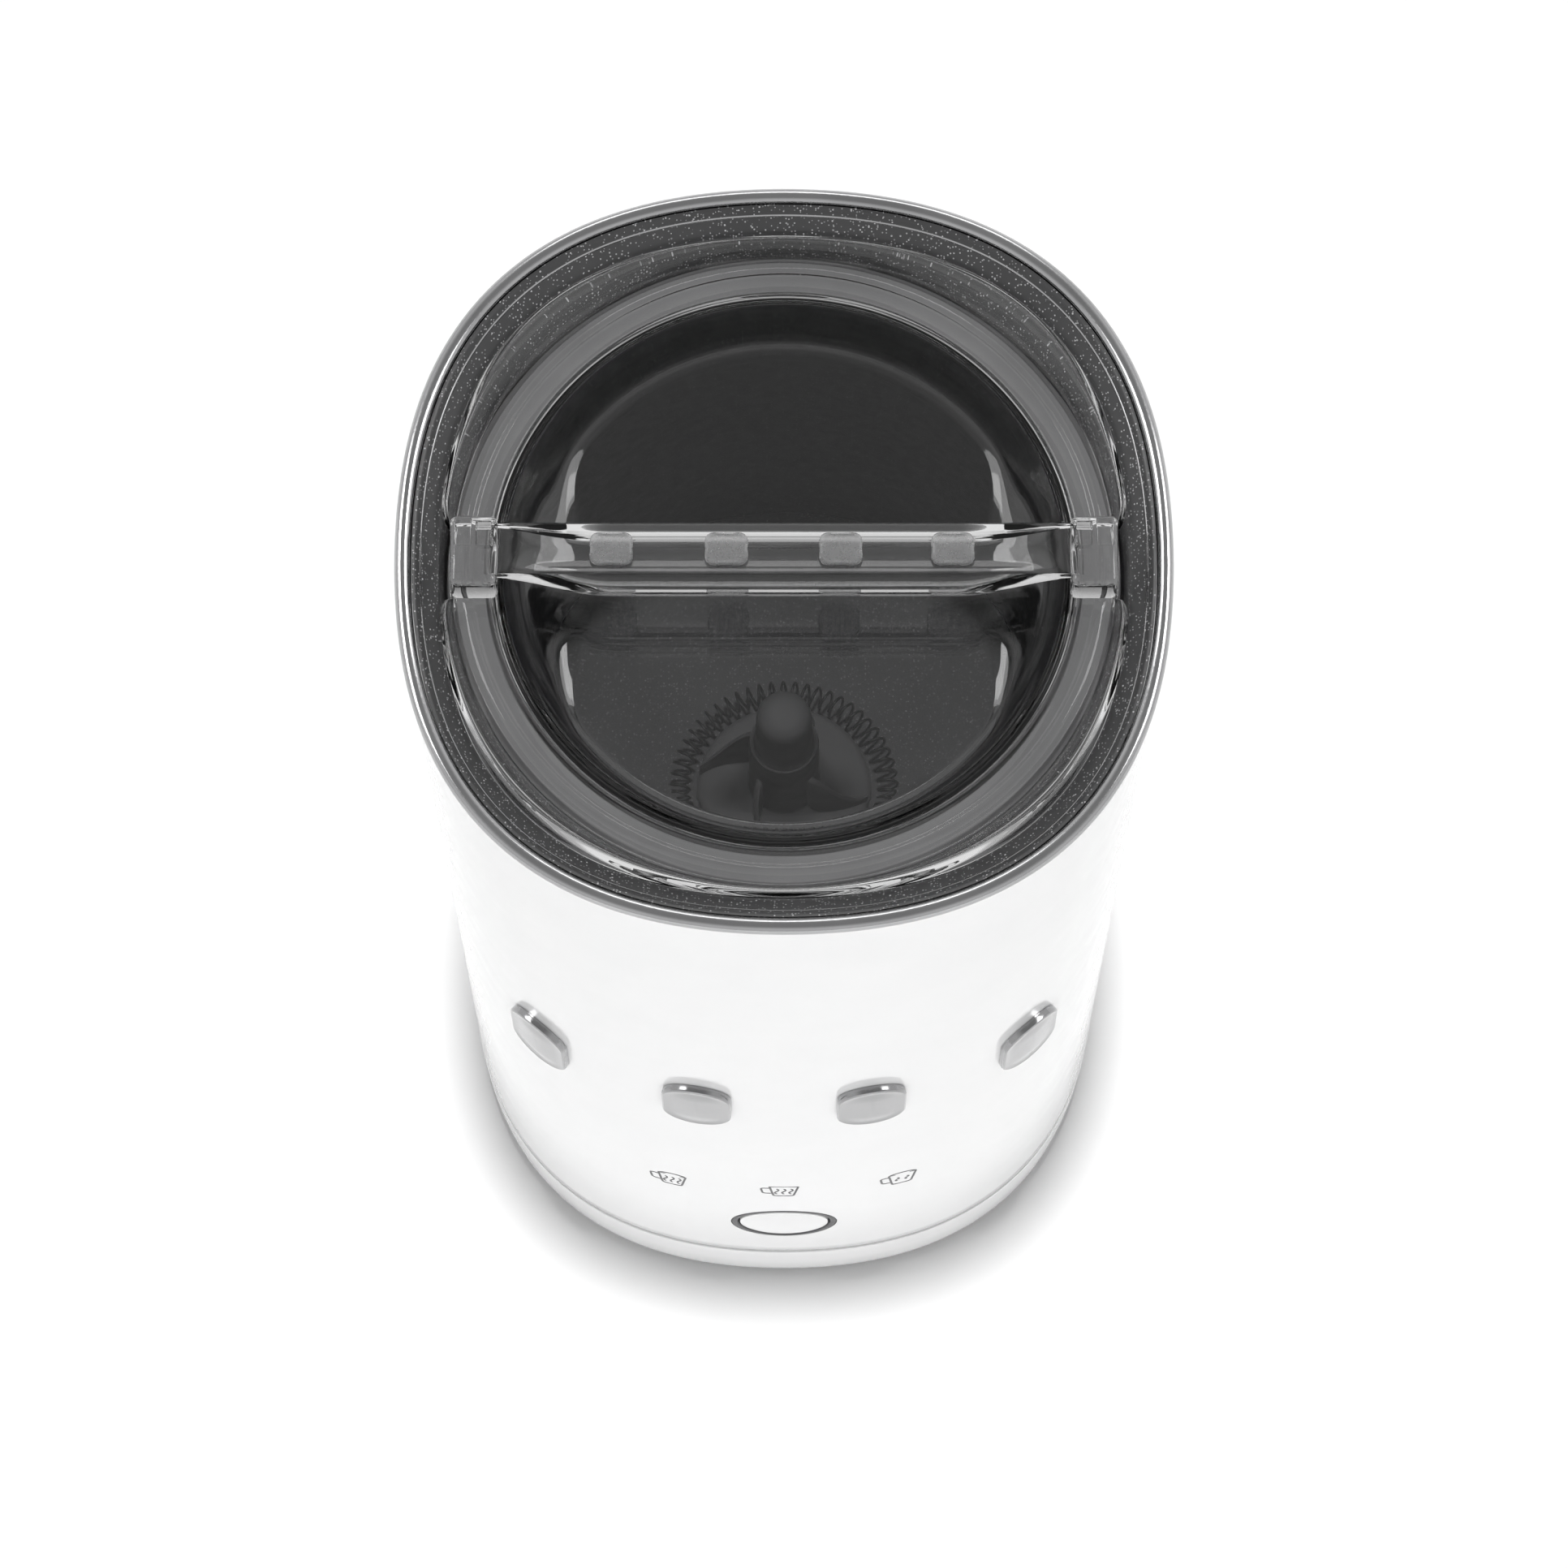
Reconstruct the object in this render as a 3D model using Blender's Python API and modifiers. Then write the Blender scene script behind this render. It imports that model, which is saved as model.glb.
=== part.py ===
"""Compact electric milk frother: cordless base, heated body with jug, whisk and clear lid.

The front faces -Y. The origin is the centre of the footprint, on the surface it stands on.
"""
import math

import bpy
import bmesh
from mathutils import Matrix, Vector

MM = 0.001

# Soft-square plan shared by the rim, body and base
RIM_RADIUS = 52.0 * MM
OBLONG = 0.0073
SQUARENESS = 0.0269
SEGMENTS = 40

# Heights
RIM_Z = 192.6 * MM
SEAM_Z = 15.8 * MM
SEAM_GAP = 1.0 * MM
BASE_EDGE_Z = 1.0 * MM
JUG_FLOOR_Z = 88.5 * MM
BUTTON_Z = 34.2 * MM
BADGE_Z = 103.0 * MM
LAMP_Z = 54.1 * MM

# Body taper: outline scale against the rim, at the rim and per rim radius of depth
BODY_TOP_SCALE = 0.987
BODY_TAPER = 0.010

# Walls and clearances
GAP = 0.3 * MM
SHELL_WALL = 2.2 * MM
JUG_WALL = 1.0 * MM
RIM_BEAD = 1.1 * MM

# Cordless connector
PILLAR_RADIUS = 12.5 * MM
PILLAR_TOP = SEAM_Z + 10.0 * MM

# Button on the front of the body
BUTTON_RADIUS = 6.6 * MM
BEZEL_RADIUS = 7.8 * MM
BUTTON_TRAVEL = 0.8 * MM

# Badges on the front of the body, as angles from the front
BADGE_ANGLES = (-41.0, -14.0, 14.0, 41.0)
BADGE_WIDTH = 9.6 * MM
BADGE_HEIGHT = 17.0 * MM
BADGE_DEPTH = 1.3 * MM

# Lid: radii as shares of the rim radius, heights below the rim plane
FLANGE_SCALE = 0.892
LEDGE_RADIUS = 0.829 * RIM_RADIUS
RECESS_RADIUS = 0.703 * RIM_RADIUS
LEDGE_DROP = 4.4 * MM
FLANGE_DROP = 0.9 * MM
RECESS_DROP = 12.8 * MM
LID_WALL = 1.8 * MM

# Lid handle
BAR_TOP = RIM_Z + 2.7 * MM
BAR_DEPTH = 6.9 * MM
BAR_HALF_LENGTH = 36.9 * MM
BAR_BELLY = 9.8 * MM
LUG_OUTER = 43.0 * MM
LUG_HALF_DEPTH = 4.8 * MM

# Whisk
WHISK_TOP_Z = 128.0 * MM
WHISK_SHOULDER_Z = 114.6 * MM
WHISK_COIL_RADIUS = 15.0 * MM

# Finishes: colour, roughness, metallic, alpha
FINISHES = {
    "white_gloss": ((0.89, 0.89, 0.90), 0.15, 0.0, 1.0),
    "grey_plastic": ((0.09, 0.09, 0.10), 0.45, 0.0, 1.0),
    "black_plastic": ((0.02, 0.02, 0.02), 0.50, 0.0, 1.0),
    "polished_steel": ((0.72, 0.72, 0.73), 0.12, 1.0, 1.0),
    "nonstick": ((0.05, 0.05, 0.055), 0.35, 0.0, 1.0),
    "aluminium": ((0.60, 0.60, 0.62), 0.35, 1.0, 1.0),
    "rubber": ((0.03, 0.03, 0.03), 0.80, 0.0, 1.0),
    "silicone": ((0.30, 0.31, 0.33), 0.60, 0.0, 1.0),
    "clear_plastic": ((0.80, 0.82, 0.84), 0.06, 0.0, 0.35),
    "brass": ((0.70, 0.50, 0.22), 0.30, 1.0, 1.0),
    "circuit_green": ((0.03, 0.20, 0.09), 0.55, 0.0, 1.0),
    "magnet": ((0.35, 0.35, 0.36), 0.30, 1.0, 1.0),
}


def clear_scene():
    for item in list(bpy.data.objects):
        bpy.data.objects.remove(item, do_unlink=True)


def new_collection(name):
    collection = bpy.data.collections.new(name)
    bpy.context.scene.collection.children.link(collection)
    return collection


clear_scene()
MODEL = new_collection("milk_frother")
CUTTERS = new_collection("cutters")


# ---------------------------------------------------------------- helpers

def group(name, location=(0, 0, 0), parent=None):
    """An empty on a joint's axis, which carries the pieces of one moving body."""
    empty = bpy.data.objects.new(name, None)
    empty.location = location
    empty.empty_display_size = 0.01
    empty.parent = parent
    MODEL.objects.link(empty)
    return empty


def paint(piece, finish):
    """Give the piece its own material in one of the finishes."""
    colour, roughness, metallic, alpha = FINISHES[finish]
    material = bpy.data.materials.new(piece.name + "_finish")
    material.use_nodes = True
    shader = material.node_tree.nodes["Principled BSDF"]
    shader.inputs["Base Color"].default_value = (*colour, 1.0)
    shader.inputs["Roughness"].default_value = roughness
    shader.inputs["Metallic"].default_value = metallic
    shader.inputs["Alpha"].default_value = alpha
    material.diffuse_color = (*colour, alpha)
    piece.data.materials.clear()
    piece.data.materials.append(material)


def mesh_from(name, bm):
    bmesh.ops.recalc_face_normals(bm, faces=bm.faces)
    mesh = bpy.data.meshes.new(name)
    bm.to_mesh(mesh)
    bm.free()
    mesh.shade_smooth()
    mesh.set_sharp_from_angle(angle=math.radians(35))
    return mesh


def add_piece(name, mesh, finish, parent, location=(0, 0, 0)):
    piece = bpy.data.objects.new(name, mesh)
    piece.location = location
    piece.parent = parent
    MODEL.objects.link(piece)
    paint(piece, finish)
    return piece


def plan_factor(angle, square=1.0):
    """Radius factor of the soft-square plan; the angle is measured from the front."""
    return 1 + square * (OBLONG * math.cos(2 * angle) - SQUARENESS * math.cos(4 * angle))


def plan_point(radius, z, angle, square=1.0):
    reach = radius * plan_factor(angle, square)
    return Vector((reach * math.sin(angle), -reach * math.cos(angle), z))


def body_radius(z):
    """Outer radius of the tapering body at a height."""
    depth = (RIM_Z - z) / RIM_RADIUS
    return RIM_RADIUS * (BODY_TOP_SCALE - BODY_TAPER * depth)


def loft_mesh(name, profile, segments=SEGMENTS):
    """Loft a profile of (radius, z, squareness) points round the soft-square plan.

    A profile that starts and ends at radius 0 is capped flat there; any other is a closed loop.
    """
    capped = profile[0][0] == 0
    bm = bmesh.new()
    turn = [2 * math.pi * step / segments for step in range(segments)]
    rings = [[bm.verts.new(plan_point(radius, z, angle, square)) for angle in turn]
             for radius, z, square in profile if radius > 0]
    pairs = list(zip(rings, rings[1:]))
    if capped:
        bm.faces.new(rings[0])
        bm.faces.new(reversed(rings[-1]))
    else:
        pairs.append((rings[-1], rings[0]))
    for upper, lower in pairs:
        for step in range(segments):
            after = (step + 1) % segments
            bm.faces.new((upper[step], upper[after], lower[after], lower[step]))
    return mesh_from(name, bm)


def loft(name, profile, finish, parent):
    return add_piece(name, loft_mesh(name, profile), finish, parent)


def turned(name, profile, finish, parent, steps=24, closed=False, location=(0, 0, 0)):
    """A turned piece: its (radius, z) profile runs from the top down the outer side."""
    bm = bmesh.new()
    points = [bm.verts.new((radius, 0, z)) for radius, z in profile]
    for first, second in zip(points, points[1:]):
        bm.edges.new((first, second))
    if closed:
        bm.edges.new((points[-1], points[0]))
    mesh = bpy.data.meshes.new(name)
    bm.to_mesh(mesh)
    bm.free()
    piece = add_piece(name, mesh, finish, parent, location)
    screw = piece.modifiers.new("turn", "SCREW")
    screw.steps = steps
    screw.render_steps = steps
    screw.use_merge_vertices = True
    screw.merge_threshold = 0.00001
    screw.use_smooth_shade = True
    return piece


def tube_profile(inner, outer, low, high):
    """Closed section of a plain tube, for turned(..., closed=True)."""
    return [(outer, high), (outer, low), (inner, low), (inner, high)]


def cylinder_mesh(name, radius, depth, segments=24):
    bm = bmesh.new()
    bmesh.ops.create_cone(bm, cap_ends=True, segments=segments, radius1=radius, radius2=radius,
                          depth=depth)
    return mesh_from(name, bm)


def cylinder(name, radius, low, high, finish, parent, at=(0, 0), segments=24):
    """An upright cylinder between two heights."""
    mesh = cylinder_mesh(name, radius, high - low, segments)
    return add_piece(name, mesh, finish, parent, (at[0], at[1], (low + high) / 2))


def box(name, size, centre, finish, parent, bevel=0.0):
    bm = bmesh.new()
    bmesh.ops.create_cube(bm, size=1.0)
    bmesh.ops.scale(bm, vec=size, verts=bm.verts)
    piece = add_piece(name, mesh_from(name, bm), finish, parent, centre)
    if bevel:
        round_edges(piece, bevel)
    return piece


def round_edges(piece, width, segments=2):
    bevel = piece.modifiers.new("round", "BEVEL")
    bevel.width = width
    bevel.segments = segments
    bevel.limit_method = "ANGLE"
    bevel.angle_limit = math.radians(40)


def as_tool(tool):
    """Move a piece to the cutters, so that it isn't part of the object."""
    MODEL.objects.unlink(tool)
    CUTTERS.objects.link(tool)
    tool.hide_render = True
    tool.display_type = "WIRE"
    return tool


def combine(piece, tool, operation):
    change = piece.modifiers.new(tool.name, "BOOLEAN")
    change.object = as_tool(tool)
    change.operation = operation
    change.solver = "EXACT"


def cut(piece, tool):
    combine(piece, tool, "DIFFERENCE")


def join(piece, tool):
    combine(piece, tool, "UNION")


def round_cutter(name, radius, low, high, at, segments=20):
    return cylinder(name, radius, low, high, "grey_plastic", None, at, segments)


def facing_front(piece):
    """Turn a piece whose own +Z is outward, so that it faces the front (-Y)."""
    piece.rotation_euler = (math.radians(90), 0, 0)


def around(radius, degrees):
    """A place at a radius and an angle from the front."""
    angle = math.radians(degrees)
    return (radius * math.sin(angle), -radius * math.cos(angle))


# ---------------------------------------------------------------- power base

BASE_SCREW_ANGLES = (60, 180, 300)
BASE_SCREW_RADIUS = 34.0 * MM
BASE_PLATE_LOW = 1.5 * MM
BASE_PLATE_HIGH = 3.5 * MM
BASE_TOP = SEAM_Z - SEAM_GAP / 2
LAND_TOP = SEAM_Z + SEAM_GAP / 2 + 0.2 * MM
CORD_Z = 8.3 * MM
CORD_BUSH_RADIUS = 4.4 * MM
CORD_BORE = 3.1 * MM


def build_base_cover(parent):
    edge = 0.9325 * RIM_RADIUS
    side = 0.951 * RIM_RADIUS
    inside = side - SHELL_WALL
    ceiling = BASE_TOP - SHELL_WALL
    hole = PILLAR_RADIUS + GAP
    land = 0.90 * RIM_RADIUS
    cover = loft("base_cover", [
        (edge - 0.6 * MM, BASE_EDGE_Z, 1),
        (edge, BASE_EDGE_Z + 0.5 * MM, 1),
        (0.945 * RIM_RADIUS, 4.0 * MM, 1),
        (side, 8.5 * MM, 1),
        (0.953 * RIM_RADIUS, BASE_TOP - 0.6 * MM, 1),
        (0.948 * RIM_RADIUS, BASE_TOP, 1),
        (land + 0.5 * MM, BASE_TOP, 1),
        (land, LAND_TOP, 1),
        (hole, LAND_TOP, 0),
        (hole, ceiling, 0),
        (inside, ceiling, 1),
        (inside - 0.3 * MM, 6.0 * MM, 1),
        (edge - SHELL_WALL, BASE_EDGE_Z, 1),
    ], "white_gloss", parent)
    for number, degrees in enumerate(BASE_SCREW_ANGLES, 1):
        place = around(BASE_SCREW_RADIUS, degrees)
        join(cover, round_cutter(f"base_boss_{number}", 3.6 * MM, 4.0 * MM, ceiling + 1.0 * MM, place))
        cut(cover, round_cutter(f"base_pilot_{number}", 1.8 * MM, 3.0 * MM, 11.0 * MM, place, 12))
    outlet = cylinder("cord_outlet_cutter", CORD_BUSH_RADIUS + GAP, -6 * MM, 6 * MM, "grey_plastic",
                      None)
    outlet.location = (0, side, CORD_Z)
    facing_front(outlet)
    cut(cover, outlet)


def build_base_plate(parent):
    radius = 0.9325 * RIM_RADIUS - SHELL_WALL - 0.5 * MM
    plate = loft("base_plate", [
        (0, BASE_PLATE_HIGH, 1),
        (radius, BASE_PLATE_HIGH, 1),
        (radius, BASE_PLATE_LOW, 1),
        (0, BASE_PLATE_LOW, 1),
    ], "grey_plastic", parent)
    for number, degrees in enumerate(BASE_SCREW_ANGLES, 1):
        place = around(BASE_SCREW_RADIUS, degrees)
        cut(plate, round_cutter(f"plate_hole_{number}", 1.9 * MM, 0, 6 * MM, place, 12))
        cut(plate, round_cutter(f"plate_recess_{number}", 3.4 * MM, 0, 2.6 * MM, place, 16))


def build_screw(name, place, head_low, length, parent):
    """A pan-head screw standing on its head, seen from below."""
    head_top = head_low + 0.8 * MM
    turned(name, [
        (0, head_low + length),
        (0.9 * MM, head_low + length),
        (1.45 * MM, head_low + length - 1.0 * MM),
        (1.45 * MM, head_top),
        (3.0 * MM, head_top),
        (2.8 * MM, head_low),
        (0, head_low),
    ], "polished_steel", parent, steps=10, location=(*place, 0))


def build_base_fixings(parent):
    for number, degrees in enumerate(BASE_SCREW_ANGLES, 1):
        build_screw(f"base_screw_{number}", around(BASE_SCREW_RADIUS, degrees), 1.5 * MM, 9.0 * MM,
                    parent)
    for number, degrees in enumerate((40, 140, 220, 320), 1):
        x, y = around(38.0 * MM, degrees)
        turned(f"base_foot_{number}", [
            (0, BASE_PLATE_LOW - GAP),
            (4.6 * MM, BASE_PLATE_LOW - GAP),
            (4.6 * MM, 0.3 * MM),
            (4.2 * MM, 0),
            (0, 0),
        ], "rubber", parent, steps=20, location=(x, y, 0))


def build_connector(parent):
    """Round cordless connector with a pin in its middle bore and a ring in its slot."""
    flange_high = BASE_TOP - SHELL_WALL - GAP
    turned("base_connector", [
        (0, 17.0 * MM),
        (3.0 * MM, 17.0 * MM),
        (3.0 * MM, PILLAR_TOP - 0.6 * MM),
        (3.6 * MM, PILLAR_TOP),
        (6.5 * MM, PILLAR_TOP),
        (6.5 * MM, 19.0 * MM),
        (9.5 * MM, 19.0 * MM),
        (9.5 * MM, PILLAR_TOP),
        (PILLAR_RADIUS - 0.8 * MM, PILLAR_TOP),
        (PILLAR_RADIUS, PILLAR_TOP - 0.8 * MM),
        (PILLAR_RADIUS, flange_high),
        (17.0 * MM, flange_high),
        (17.0 * MM, flange_high - 2.0 * MM),
        (11.0 * MM, flange_high - 2.0 * MM),
        (11.0 * MM, 5.0 * MM),
        (0, 5.0 * MM),
    ], "black_plastic", parent, steps=24)
    cylinder("contact_pin", 1.6 * MM, 17.0 * MM + GAP, PILLAR_TOP - 1.5 * MM, "brass", parent,
             segments=12)
    turned("contact_ring", tube_profile(7.2 * MM, 8.8 * MM, 19.0 * MM + GAP, PILLAR_TOP - 1.5 * MM),
           "brass", parent, steps=24, closed=True)


def build_cord_bush(parent):
    """Bush in the rear wall where the supply lead enters; the lead itself isn't modelled."""
    outer_face = 0.951 * RIM_RADIUS * plan_factor(math.pi)
    bush = turned("cord_bush", [
        (CORD_BUSH_RADIUS, 0.2 * MM),
        (CORD_BUSH_RADIUS, -5.5 * MM),
        (CORD_BORE, -5.5 * MM),
        (CORD_BORE, 0.2 * MM),
    ], "black_plastic", parent, steps=20, closed=True, location=(0, outer_face, CORD_Z))
    bush.rotation_euler = (math.radians(-90), 0, 0)


def build_power_base():
    base = group("power_base")
    build_base_cover(base)
    build_base_plate(base)
    build_base_fixings(base)
    build_connector(base)
    build_cord_bush(base)
    return base


# ---------------------------------------------------------------- heated body

BODY_LOW = SEAM_Z + SEAM_GAP / 2
BODY_HIGH = RIM_Z - RIM_BEAD - GAP
COVER_LOW = LAND_TOP + GAP
COVER_HIGH = COVER_LOW + 2.5 * MM
BODY_SCREW_ANGLES = (45, 135, 225, 315)
BODY_SCREW_RADIUS = 44.4 * MM
BODY_BOSS_RADIUS = 4.8 * MM
SOCKET_RADIUS = 17.0 * MM
BUTTON_FACE = -body_radius(BUTTON_Z) * plan_factor(0)
BOARD_FRONT = -36.6 * MM


def build_outer_shell(parent):
    levels = [BODY_HIGH - (BODY_HIGH - BODY_LOW) * step / 4 for step in range(5)]
    outside = [(body_radius(z), z, 1) for z in levels]
    inside = [(body_radius(z) - SHELL_WALL, z, 1) for z in reversed(levels)]
    shell = loft("outer_shell", outside + inside, "white_gloss", parent)
    for number, degrees in enumerate(BODY_SCREW_ANGLES, 1):
        place = around(BODY_SCREW_RADIUS, degrees)
        low = COVER_HIGH + GAP
        join(shell, round_cutter(f"body_boss_{number}", BODY_BOSS_RADIUS, low, low + 13 * MM, place))
        cut(shell, round_cutter(f"body_pilot_{number}", 1.8 * MM, low - 1 * MM, low + 10 * MM, place, 12))
    hole = cylinder("button_hole_cutter", BEZEL_RADIUS + GAP, -8 * MM, 8 * MM, "grey_plastic", None,
                    segments=32)
    hole.location = (0, BUTTON_FACE, BUTTON_Z)
    facing_front(hole)
    cut(shell, hole)


def build_bottom_cover(parent):
    radius = body_radius(BODY_LOW) - SHELL_WALL - GAP
    cover = loft("bottom_cover", [
        (radius, COVER_HIGH, 1),
        (radius, COVER_LOW, 1),
        (SOCKET_RADIUS + GAP, COVER_LOW, 0),
        (SOCKET_RADIUS + GAP, COVER_HIGH, 0),
    ], "white_gloss", parent)
    for number, degrees in enumerate(BODY_SCREW_ANGLES, 1):
        place = around(BODY_SCREW_RADIUS, degrees)
        cut(cover, round_cutter(f"cover_hole_{number}", 1.9 * MM, 10 * MM, 25 * MM, place, 12))
        cut(cover, round_cutter(f"cover_recess_{number}", 3.4 * MM, 10 * MM, COVER_LOW + 1.2 * MM,
                                place, 16))
        build_screw(f"body_screw_{number}", place, COVER_LOW + 0.1 * MM, 10 * MM, parent)


def build_socket(parent):
    """Cordless socket that drops over the base's connector."""
    flange_low = COVER_HIGH + GAP
    ceiling = PILLAR_TOP + 1.5 * MM
    turned("bottom_socket", [
        (0, ceiling + 2.0 * MM),
        (SOCKET_RADIUS - 2.0 * MM, ceiling + 2.0 * MM),
        (SOCKET_RADIUS, ceiling),
        (SOCKET_RADIUS, flange_low + 1.5 * MM),
        (20.0 * MM, flange_low + 1.5 * MM),
        (20.0 * MM, flange_low),
        (SOCKET_RADIUS, flange_low),
        (SOCKET_RADIUS, COVER_LOW),
        (PILLAR_RADIUS + 0.7 * MM, COVER_LOW),
        (PILLAR_RADIUS + 0.7 * MM, ceiling),
        (0, ceiling),
    ], "black_plastic", parent, steps=24)


def build_rim(parent):
    """Polished rolled rim and the gasket under the jug's lip."""
    centre = RIM_RADIUS - RIM_BEAD
    turn = [2 * math.pi * step / 8 for step in range(8)]
    bead = [(centre + RIM_BEAD * math.cos(angle), RIM_Z - RIM_BEAD * math.sin(angle), 1)
            for angle in turn]
    loft("rim_ring", bead, "polished_steel", parent)
    loft("jug_gasket", [
        (0.938 * RIM_RADIUS, RIM_Z - 3.4 * MM, 1),
        (0.938 * RIM_RADIUS, RIM_Z - 6.5 * MM, 1),
        (0.912 * RIM_RADIUS, RIM_Z - 6.5 * MM, 1),
        (0.912 * RIM_RADIUS, RIM_Z - 4.6 * MM, 1),
    ], "silicone", parent)


def build_jug(parent):
    """Deep-drawn jug: a soft-square lip runs down into a round bore with a flat floor."""
    r = RIM_RADIUS
    inside = [
        (r - 2 * RIM_BEAD - GAP, RIM_Z + 0.2 * MM, 1),
        (0.936 * r, RIM_Z - 0.5 * MM, 1),
        (0.915 * r, RIM_Z - 1.5 * MM, 1),
        (0.897 * r, RIM_Z - 2.3 * MM, 1),
        (0.872 * r, RIM_Z - 4.3 * MM, 0.55),
        (0.853 * r, RIM_Z - 7.0 * MM, 0.1),
        (0.848 * r, RIM_Z - 11.0 * MM, 0),
        (0.815 * r, JUG_FLOOR_Z + 12 * MM, 0),
        (0.800 * r, JUG_FLOOR_Z + 5 * MM, 0),
        (0.755 * r, JUG_FLOOR_Z + 1.2 * MM, 0),
        (0.690 * r, JUG_FLOOR_Z, 0),
        (0, JUG_FLOOR_Z, 0),
    ]
    floor_low = JUG_FLOOR_Z - JUG_WALL
    outside = [
        (0, floor_low, 0),
        (0.695 * r, floor_low, 0),
        (0.770 * r, JUG_FLOOR_Z + 0.4 * MM, 0),
        (0.820 * r, JUG_FLOOR_Z + 4.6 * MM, 0),
        (0.835 * r, JUG_FLOOR_Z + 12 * MM, 0),
        (0.868 * r, RIM_Z - 11.0 * MM, 0),
        (0.872 * r, RIM_Z - 7.4 * MM, 0.1),
        (0.890 * r, RIM_Z - 5.0 * MM, 0.55),
        (0.905 * r, RIM_Z - 3.3 * MM, 1),
        (0.922 * r, RIM_Z - 2.5 * MM, 1),
        (0.938 * r, RIM_Z - 1.5 * MM, 1),
        (r - 2 * RIM_BEAD - GAP, RIM_Z - 1.0 * MM, 1),
    ]
    loft("jug", list(reversed(inside)) + list(reversed(outside)), "nonstick", parent)
    turned("whisk_pivot", [
        (0, JUG_FLOOR_Z + 22 * MM),
        (0.9 * MM, JUG_FLOOR_Z + 22 * MM),
        (1.5 * MM, JUG_FLOOR_Z + 21.2 * MM),
        (1.5 * MM, JUG_FLOOR_Z + GAP),
        (0, JUG_FLOOR_Z + GAP),
    ], "polished_steel", parent, steps=12)


HEATER_HIGH = JUG_FLOOR_Z - JUG_WALL - GAP
HEATER_LOW = HEATER_HIGH - 3.0 * MM
ELEMENT_RADIUS = 28.0 * MM
ELEMENT_TUBE = 2.6 * MM


def build_heating_element(parent):
    """Tubular element: an open ring whose two ends turn down to their terminals."""
    z = HEATER_LOW - GAP - ELEMENT_TUBE
    open_angle = math.radians(20)
    steps = 28
    sweep = 2 * math.pi - 2 * open_angle
    turn = [math.pi + open_angle + sweep * step / steps for step in range(steps + 1)]
    ring = [(ELEMENT_RADIUS * math.sin(a), -ELEMENT_RADIUS * math.cos(a), z) for a in turn]
    first = (*around(ELEMENT_RADIUS, 180 + 13), z - 3.0 * MM)
    last = (*around(ELEMENT_RADIUS, 180 - 13), z - 3.0 * MM)
    drop = 4.0 * MM
    route = [(first[0], first[1], first[2] - drop), first] + ring + [last, (last[0], last[1], last[2] - drop)]
    curve = bpy.data.curves.new("heating_element", "CURVE")
    curve.dimensions = "3D"
    curve.bevel_depth = ELEMENT_TUBE
    curve.bevel_resolution = 2
    curve.use_fill_caps = True
    spline = curve.splines.new("POLY")
    spline.points.add(len(route) - 1)
    for point, place in zip(spline.points, route):
        point.co = (*place, 1)
    piece = bpy.data.objects.new("heating_element", curve)
    piece.parent = parent
    MODEL.objects.link(piece)
    paint(piece, "aluminium")


def build_heater(parent):
    turned("heater_plate", tube_profile(17.0 * MM, 38.0 * MM, HEATER_LOW, HEATER_HIGH), "aluminium",
           parent, steps=32, closed=True)
    build_heating_element(parent)
    cylinder("temperature_sensor", 2.8 * MM, HEATER_LOW - 6.5 * MM, HEATER_LOW - GAP, "polished_steel",
             parent, around(20.5 * MM, 90), 16)


BRACKET_LOW = 70.0 * MM
BRACKET_HIGH = 72.0 * MM
MOTOR_RADIUS = 13.8 * MM
SHAFT_RADIUS = 1.2 * MM


def build_motor(parent):
    bracket = turned("motor_bracket", tube_profile(5.0 * MM, 38.0 * MM, BRACKET_LOW, BRACKET_HIGH),
                     "aluminium", parent, steps=32, closed=True)
    for number, degrees in enumerate((60, 180, 300), 1):
        join(bracket, round_cutter(f"bracket_post_{number}", 2.6 * MM, BRACKET_LOW + 0.5 * MM,
                                   HEATER_LOW - GAP, around(34.6 * MM, degrees), 16))
    low = 42.0 * MM
    high = BRACKET_LOW - GAP
    turned("motor", [
        (0, 62.0 * MM),
        (SHAFT_RADIUS + GAP, 62.0 * MM),
        (SHAFT_RADIUS + GAP, high + 3.0 * MM),
        (3.6 * MM, high + 3.0 * MM),
        (3.6 * MM, high),
        (MOTOR_RADIUS - 1.0 * MM, high),
        (MOTOR_RADIUS, high - 1.0 * MM),
        (MOTOR_RADIUS, low + 1.0 * MM),
        (MOTOR_RADIUS - 1.0 * MM, low),
        (5.0 * MM, low),
        (5.0 * MM, low - 2.0 * MM),
        (0, low - 2.0 * MM),
    ], "polished_steel", parent, steps=24)


def build_boards(parent):
    box("button_board", (40 * MM, 1.6 * MM, 38 * MM), (0, BOARD_FRONT + 0.8 * MM, 42.5 * MM),
        "circuit_green", parent)
    cylinder("main_board", 30 * MM, 33.4 * MM, 35.0 * MM, "circuit_green", parent, segments=32)
    switch = box("push_switch", (6 * MM, 4.0 * MM, 6 * MM),
                 (0, BOARD_FRONT - GAP - 2.0 * MM, BUTTON_Z), "black_plastic", parent)
    plunger = cylinder("switch_plunger", 1.6 * MM, -2 * MM, 2 * MM, "black_plastic", None, segments=12)
    plunger.location = (0, BOARD_FRONT - GAP - 3.6 * MM, BUTTON_Z)
    facing_front(plunger)
    join(switch, plunger)
    for number, x in enumerate((-17.0 * MM, 0, 17.0 * MM), 1):
        box(f"mode_lamp_{number}", (3.0 * MM, 1.6 * MM, 3.0 * MM),
            (x, BOARD_FRONT - GAP - 0.8 * MM, LAMP_Z), "silicone", parent)


def build_bezel(parent):
    bezel = turned("button_bezel", tube_profile(BUTTON_RADIUS + GAP, BEZEL_RADIUS, -4.0 * MM, 0.1 * MM),
                   "grey_plastic", parent, steps=32, closed=True,
                   location=(0, BUTTON_FACE, BUTTON_Z))
    facing_front(bezel)


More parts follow.
